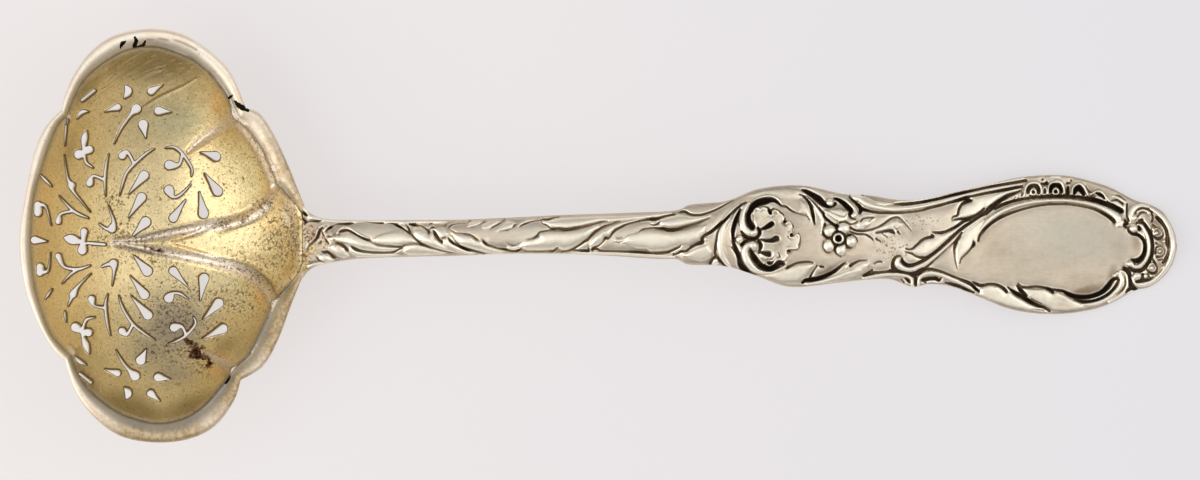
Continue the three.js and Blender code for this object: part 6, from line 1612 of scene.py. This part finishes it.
class Shader:
    """A material made node by node."""

    def __init__(self, name, **constants):
        self.material = bpy.data.materials.new(name)
        self.material.use_nodes = True
        self.tree = self.material.node_tree
        self.tree.nodes.clear()
        self.output = self.tree.nodes.new("ShaderNodeOutputMaterial")
        self.skin = self.tree.nodes.new("ShaderNodeBsdfPrincipled")
        self.tree.links.new(self.skin.outputs[0], self.output.inputs[0])
        for key, value in constants.items():
            self.skin.inputs[key.replace("_", " ")].default_value = value

    def node(self, kind, settings=None, inputs=None, output=0):
        made = self.tree.nodes.new("ShaderNode" + kind)
        for key, value in (settings or {}).items():
            setattr(made, key, value)
        for key, value in (inputs or {}).items():
            self.feed(made.inputs[key], value)
        return made.outputs[output]

    def feed(self, socket, value):
        if isinstance(value, bpy.types.NodeSocket):
            self.tree.links.new(value, socket)
        else:
            socket.default_value = value

    def math(self, operation, a, b):
        return self.node("Math", {"operation": operation}, {0: a, 1: b})

    def times(self, a, b):
        return self.math("MULTIPLY", a, b)

    def plus(self, a, b):
        return self.math("ADD", a, b)

    def most(self, a, b):
        return self.math("MAXIMUM", a, b)

    def centred(self, noise, amount):
        """Noise about zero, up to half the amount."""
        return self.times(self.math("SUBTRACT", noise, 0.5), amount)

    def value(self, name):
        return self.node("Attribute", {"attribute_name": name}, output=2)

    def noise(self, scale, detail=3.0, roughness=0.5, stretch=(1, 1, 1)):
        place = self.node("TexCoord", output=3)
        moved = self.node("Mapping", {}, {0: place, 3: stretch})
        inputs = {"Vector": moved, "Scale": scale, "Detail": detail, "Roughness": roughness}
        return self.node("TexNoise", {}, inputs)

    def streaks(self, scale, degrees, length):
        """Noise drawn out along one direction of the plan."""
        place = self.node("TexCoord", output=3)
        inputs = {0: place, 2: (0, 0, np.radians(degrees)), 3: (length, 1, 1)}
        moved = self.node("Mapping", {"vector_type": "TEXTURE"}, inputs)
        return self.node("TexNoise", {}, {"Vector": moved, "Scale": scale, "Detail": 3.0, "Roughness": 0.6})

    def range(self, value, low, high, to_low=0.0, to_high=1.0):
        inputs = {0: value, 1: low, 2: high, 3: to_low, 4: to_high}
        return self.node("MapRange", {"interpolation_type": "SMOOTHSTEP"}, inputs)

    def mix(self, share, a, b):
        return self.node("Mix", {"data_type": "RGBA"}, {0: share, 6: a, 7: b}, output=2)

    def surface(self, **sockets):
        for key, value in sockets.items():
            self.feed(self.skin.inputs[key.replace("_", " ")], value)
        return self.material

    def bump(self, height, distance, strength=1.0):
        return self.node("Bump", {}, {"Strength": strength, "Distance": distance, "Height": height})


def struck_ground(s, grime, broad, brushed):
    """The plain low ground: warm, brushed and clouded with brown, greyer where it has a sheen."""
    ground = s.mix(s.range(broad, 0.36, 0.64), (0.69, 0.575, 0.43, 1), (0.59, 0.515, 0.395, 1))
    ground = s.mix(s.range(brushed, 0.4, 0.65, 0, 0.35), ground, (0.8, 0.72, 0.58, 1))
    ground = s.mix(s.range(s.value("sheen"), 0, 1, 0, 0.75), ground, (0.55, 0.515, 0.42, 1))
    clouds = s.noise(380, 4, 0.65, (1, 2.5, 1))
    ground = s.mix(s.range(clouds, 0.5, 0.75, 0, 0.4), ground, (0.52, 0.4, 0.29, 1))
    return s.mix(s.range(grime, 0.45, 0.7, 0, 0.22), ground, (0.47, 0.37, 0.26, 1))


def struck_forms(s, ground, grime):
    """Cream forms on the ground, with crests lightened as wear and as painted highlight, and painted
    highlights in patches.
    """
    form = s.mix(s.range(grime, 0.3, 0.7), (0.96, 0.88, 0.71, 1), (0.85, 0.75, 0.57, 1))
    colour = s.mix(s.range(s.value("raised"), 0.03, 0.17), ground, form)
    # Crests: wear and painted highlight.
    colour = s.mix(s.range(s.value("crest"), 0.012, 0.07), colour, (1.0, 0.95, 0.81, 1))
    # Painted highlights in their patches.
    return s.mix(s.times(s.value("painted_highlight"), 0.7), colour, (1.0, 0.925, 0.76, 1))


def brown_haze(s, colour, uneven):
    """A brown haze, partly tarnish and partly painted shade, where the surface lies low and in the grimy
    patches, less on crests and under the painted highlights.
    """
    low = s.plus(s.value("sink"), s.times(uneven, 0.1))
    low = s.math("SUBTRACT", low, s.times(s.value("painted_highlight"), 0.03))
    haze = s.times(s.value("grime"), s.range(s.noise(420, 4, 0.65), 0.35, 0.65, 0.8, 1.1))
    low = s.most(low, s.times(haze, s.range(s.value("crest"), 0, 0.16, 0.17, 0.07)))
    return s.mix(s.range(low, 0.01, 0.17, 0, 0.85), colour, (0.25, 0.175, 0.1, 1))


def tan_and_gold(s, colour, grime, uneven):
    """Tan tarnish, and over it the gilding spilled onto the root."""
    tan = s.mix(s.range(grime, 0.35, 0.65), (0.76, 0.59, 0.42, 1), (0.58, 0.43, 0.29, 1))
    reach = s.plus(s.value("tan"), s.times(uneven, 1.2))
    colour = s.mix(s.range(reach, 0.25, 0.9, 0, 0.85), colour, tan)
    gold = s.mix(s.range(grime, 0.35, 0.65), (0.78, 0.58, 0.26, 1), (0.5, 0.36, 0.16, 1))
    reach = s.plus(s.value("gilt"), s.times(uneven, 2.2))
    return s.mix(s.range(reach, 0.2, 1, 0, 0.9), colour, gold)


def dark_pits(s, colour):
    """Specks in the gilt, tan and pitted patches."""
    pitted = s.most(s.most(s.value("gilt"), s.value("tan")), s.value("pit"))
    specks = s.range(s.plus(s.noise(3000, 3, 0.7), s.times(pitted, 0.14)), 0.62, 0.72)
    return s.mix(s.times(specks, s.range(pitted, 0.1, 0.5)), colour, (0.2, 0.13, 0.06, 1))


def handle_finish():
    """Silver with black tarnish and painted shade in its grooves, a brown haze of tarnish and painted shade
    in the low ground, cream forms, and bright edges of wear and painted highlight.
    """
    s = Shader("handle_silver", Metallic=1.0)
    grime, broad = s.noise(1500, 4, 0.6), s.noise(160, 4, 0.6)
    brushed = s.noise(900, 3, 0.6, (1, 9, 1))
    uneven = s.centred(grime, 0.4)
    colour = struck_forms(s, struck_ground(s, grime, broad, brushed), grime)
    colour = tan_and_gold(s, brown_haze(s, colour, uneven), grime, uneven)
    colour = dark_pits(s, colour)
    faded = s.times(s.value("hollow"), s.range(s.noise(110, 3, 0.6), 0.35, 0.6, 0.72, 1.05))
    # Black tarnish and painted shade in the grooves, brown at their sides.
    tarnish_and_shade = s.plus(faded, uneven)
    colour = s.mix(s.range(tarnish_and_shade, 0.08, 0.6), colour, (0.19, 0.13, 0.075, 1))
    colour = s.mix(s.range(tarnish_and_shade, 0.58, 1.02), colour, (0.025, 0.017, 0.01, 1))
    roughness = s.plus(s.range(brushed, 0.3, 0.7, 0.33, 0.45), s.range(tarnish_and_shade, 0.2, 0.8, 0, 0.35))
    height = s.plus(s.times(brushed, 0.5), broad)
    return s.surface(Base_Color=colour, Roughness=roughness, Normal=s.bump(height, 0.00003, 0.5))


def rim_silver(s, grime, broad):
    """Cream-coloured worn plate, tan toward the handle, greyed with painted shade in its cove and gilt at the
    root.
    """
    colour = s.mix(s.range(broad, 0.35, 0.65), (0.98, 0.88, 0.73, 1), (0.95, 0.81, 0.63, 1))
    tan = s.mix(s.range(grime, 0.35, 0.65), (0.62, 0.48, 0.29, 1), (0.43, 0.31, 0.16, 1))
    colour = s.mix(s.times(s.value("tan"), s.range(broad, 0.2, 0.7, 0.6, 1)), colour, tan)
    # Painted shade in the cove.
    grey = s.mix(s.range(broad, 0.4, 0.7), (0.6, 0.55, 0.46, 1), (0.46, 0.45, 0.41, 1))
    colour = s.mix(s.times(s.value("cove"), 0.9), colour, grey)
    gold = s.mix(s.range(grime, 0.35, 0.65), (0.72, 0.54, 0.29, 1), (0.48, 0.35, 0.18, 1))
    return s.mix(s.range(s.plus(s.value("gilt"), s.centred(grime, 0.8)), 0.3, 0.8), colour, gold)


def rim_finish():
    """The rim's silver with dark specks and lines, and black in the seam."""
    s = Shader("rim_silver", Metallic=1.0)
    grime, broad, speck = s.noise(1900, 4, 0.65), s.noise(200, 3, 0.5), s.noise(3000, 3, 0.7)
    colour = rim_silver(s, grime, broad)
    often = s.times(s.value("gilt"), 0.1)
    dark = s.times(s.range(s.plus(speck, often), 0.58, 0.72), s.range(grime, 0.42, 0.62, 0, 0.75))
    dark = s.most(dark, s.times(s.value("line"), 0.65))
    colour = s.mix(dark, colour, (0.24, 0.15, 0.08, 1))
    seam = s.range(s.plus(s.value("seam"), s.centred(speck, 0.9)), 0.45, 0.6)
    colour = s.mix(seam, colour, (0.012, 0.008, 0.005, 1))
    roughness = s.plus(s.range(grime, 0.3, 0.7, 0.44, 0.58), s.times(s.value("gilt"), 0.15))
    height = s.plus(s.times(grime, 0.6), broad)
    return s.surface(Base_Color=colour, Roughness=roughness, Normal=s.bump(height, 0.00008, 0.6))


def toned_gilding(s, broad, sand, grain):
    """Gilding in patches of several tones, among them painted highlight, painted shade and a painted sheen,
    with fine streaks of polishing, darker between its grains.
    """
    uneven = s.centred(s.noise(420, 4, 0.6), 0.9)
    colour = s.mix(s.range(broad, 0.35, 0.65), (0.96, 0.79, 0.44, 1), (0.85, 0.7, 0.39, 1))
    for name, tone in GILT_TONES.items():
        share = s.value(name)
        reach = s.plus(share, s.times(uneven, s.times(share, 0.8)))
        colour = s.mix(s.range(reach, 0.05, 1, 0, 0.9), colour, tone)
    streaks = s.streaks(2200, 30, 16)
    bright, dark = s.range(streaks, 0.52, 0.68, 0, 0.55), s.range(streaks, 0.34, 0.48, 0.4, 0)
    for drawn, tone in ((bright, (1.0, 0.9, 0.6, 1)), (dark, (0.36, 0.26, 0.12, 1))):
        colour = s.mix(s.times(s.value("streak"), drawn), colour, tone)
    low = s.plus(s.range(sand, 0.3, 0.62, 0.3, 0), s.range(grain, 0.3, 0.6, 0.14, 0))
    return s.mix(low, colour, (0.4, 0.28, 0.12, 1))


def worn_gilding(s, colour, sand, grain):
    """Grey where the edge is worn, and pale silver on the ribs."""
    gritty = s.centred(grain, 0.7)
    worn_edge = s.plus(s.value("edge"), s.times(gritty, 0.6))
    colour = s.mix(s.range(worn_edge, 0.25, 1.0, 0, 0.85), colour, (0.56, 0.51, 0.41, 1))
    rib_edge = s.plus(s.value("rib"), gritty)
    pale = s.mix(s.range(sand, 0.35, 0.65), (0.72, 0.62, 0.5, 1), (0.95, 0.85, 0.72, 1))
    return s.mix(s.range(rib_edge, 0.08, 0.36, 0, 0.92), colour, pale)


def dark_marks(s, grain):
    """How dark the specks are, and the painted shade at the edges of the holes and in the creases."""
    often = s.times(s.value("speck"), 0.14)
    specks = s.range(s.plus(s.noise(3000, 3, 0.7), often), 0.58, 0.68)
    specks = s.times(specks, s.range(grain, 0.34, 0.58))
    # Painted shade on the inner face round each hole's edge.
    ring = s.times(s.range(s.value("hole"), 0.0, 0.15, 0.9, 0.0), s.value("inside"))
    return s.most(s.most(s.times(specks, 0.85), ring), s.times(s.value("crease"), 0.75))


def crusted(s, colour):
    """Brown and black crust in its patches."""
    crust = s.times(s.value("crust"), s.range(s.noise(1300, 3, 0.6), 0.38, 0.56))
    scab = s.mix(s.range(s.noise(2400, 2, 0.5), 0.4, 0.6), (0.22, 0.1, 0.04, 1), (0.02, 0.012, 0.008, 1))
    return s.mix(s.range(crust, 0.2, 0.6), colour, scab)


def outer_silver(s, broad, grain):
    colour = s.mix(s.range(broad, 0.35, 0.65), (0.93, 0.85, 0.7, 1), (0.84, 0.74, 0.58, 1))
    return s.mix(s.range(grain, 0.5, 0.75, 0, 0.4), colour, (0.5, 0.4, 0.28, 1))


def gilt_finish():
    """Gilding inside, sandy, worn, specked and tarnished in patches, and silver outside."""
    s = Shader("gilt_sheet", Metallic=1.0)
    grain, sand, broad = s.noise(1300, 4, 0.65), s.noise(4600, 2, 0.6), s.noise(150, 3, 0.55)
    dark = dark_marks(s, grain)
    colour = worn_gilding(s, toned_gilding(s, broad, sand, grain), sand, grain)
    colour = crusted(s, s.mix(dark, colour, (0.16, 0.1, 0.04, 1)))
    colour = s.mix(s.value("inside"), outer_silver(s, broad, grain), colour)
    roughness = s.plus(s.range(grain, 0.3, 0.7, 0.34, 0.46), s.times(dark, 0.2))
    roughness = s.plus(roughness, s.times(s.value("grey"), 0.12))
    height = s.plus(s.times(grain, 0.6), s.times(broad, 1.2))
    height = s.plus(height, s.times(sand, 0.16))
    return s.surface(Base_Color=colour, Roughness=roughness, Normal=s.bump(height, 0.00012, 0.8))


def floor_finish():
    """Pale paper that shows its own colour to the camera and in the metal, with a part of the shadow."""
    s = Shader("pale_floor", Roughness=0.9)
    place = s.node("TexCoord", output=3)
    across = s.node("SeparateXYZ", {}, {0: place}, output=0)
    tone = s.range(across, -0.1, 0.12)
    colour = s.mix(tone, (0.87, 0.83, 0.81, 1), (0.785, 0.765, 0.79, 1))
    colour = s.mix(s.range(s.noise(9, 3, 0.5), 0.35, 0.65, 0, 0.25), colour, (0.8, 0.77, 0.785, 1))
    s.surface(Base_Color=colour)
    glow = s.node("Emission", {}, {0: colour, 1: 1.0})
    path = s.tree.nodes.new("ShaderNodeLightPath")
    seen = s.most(path.outputs["Is Camera Ray"], path.outputs["Is Glossy Ray"])
    share = s.times(s.most(seen, path.outputs["Is Transmission Ray"]), 0.7)
    both = s.node("MixShader", {}, {0: share, 1: s.skin.outputs[0], 2: glow})
    s.feed(s.output.inputs[0], both)
    return s.material


# The stage


def build_floor():
    half = FLOOR_SIZE / 2
    corners = np.array([(x * half, y * half, FLOOR_HEIGHT) for x, y in ((-1, -1), (1, -1), (1, 1), (-1, 1))])
    floor = mesh_object("floor", corners, NO_TRIANGLES, np.array([[0, 1, 2, 3]]))
    floor.data.materials.append(floor_finish())


def build_camera():
    data = bpy.data.cameras.new("camera")
    data.lens = CAMERA_LENS
    data.sensor_width = FILM_WIDTH
    data.clip_start, data.clip_end = 0.1, 20
    camera = bpy.data.objects.new("camera", data)
    middle = place((FRAME_WIDTH_PX / 2 - CAMERA_SHIFT_PX, FRAME_HEIGHT_PX / 2))
    distance = CAMERA_LENS / FILM_WIDTH * FRAME_WIDTH_PX * PX_LENGTH
    camera.location = Vector((middle[0], middle[1], distance + TRUE_SIZE_HEIGHT)) * MM
    bpy.context.scene.collection.objects.link(camera)
    bpy.context.scene.camera = camera


def build_lamp(name, location, size, power):
    data = bpy.data.lights.new(name, "AREA")
    data.shape = "RECTANGLE"
    data.size, data.size_y = size
    data.energy = power
    lamp = bpy.data.objects.new(name, data)
    lamp.location = location
    lamp.rotation_euler = (-Vector(location)).to_track_quat("-Z", "Y").to_euler()
    bpy.context.scene.collection.objects.link(lamp)


def build_world():
    """A plain dome, brightest overhead."""
    world = bpy.data.worlds.new("studio")
    bpy.context.scene.world = world
    world.use_nodes = True
    tree = world.node_tree
    toward = tree.nodes.new("ShaderNodeTexCoord")
    split = tree.nodes.new("ShaderNodeSeparateXYZ")
    rise = tree.nodes.new("ShaderNodeMapRange")
    tree.links.new(toward.outputs["Generated"], split.inputs[0])
    tree.links.new(split.outputs[2], rise.inputs[0])
    for k, number in enumerate((0, 1, HORIZON_LIGHT, ZENITH_LIGHT)):
        rise.inputs[k + 1].default_value = number
    tree.links.new(rise.outputs[0], tree.nodes["Background"].inputs[1])
    tree.nodes["Background"].inputs[0].default_value = DOME_TONE


def finish_piece(piece, node, material):
    piece.data.materials.append(material)
    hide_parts(node)
    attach(piece, "root")


build_camera()
build_floor()
build_world()
for lamp in LAMPS:
    build_lamp(*lamp)
finish_piece(build_bowl(), "bowl", gilt_finish())
finish_piece(build_rim(), "rim_band", rim_finish())
finish_piece(build_handle(), "handle", handle_finish())

bpy.context.scene.view_settings.view_transform = "Standard"
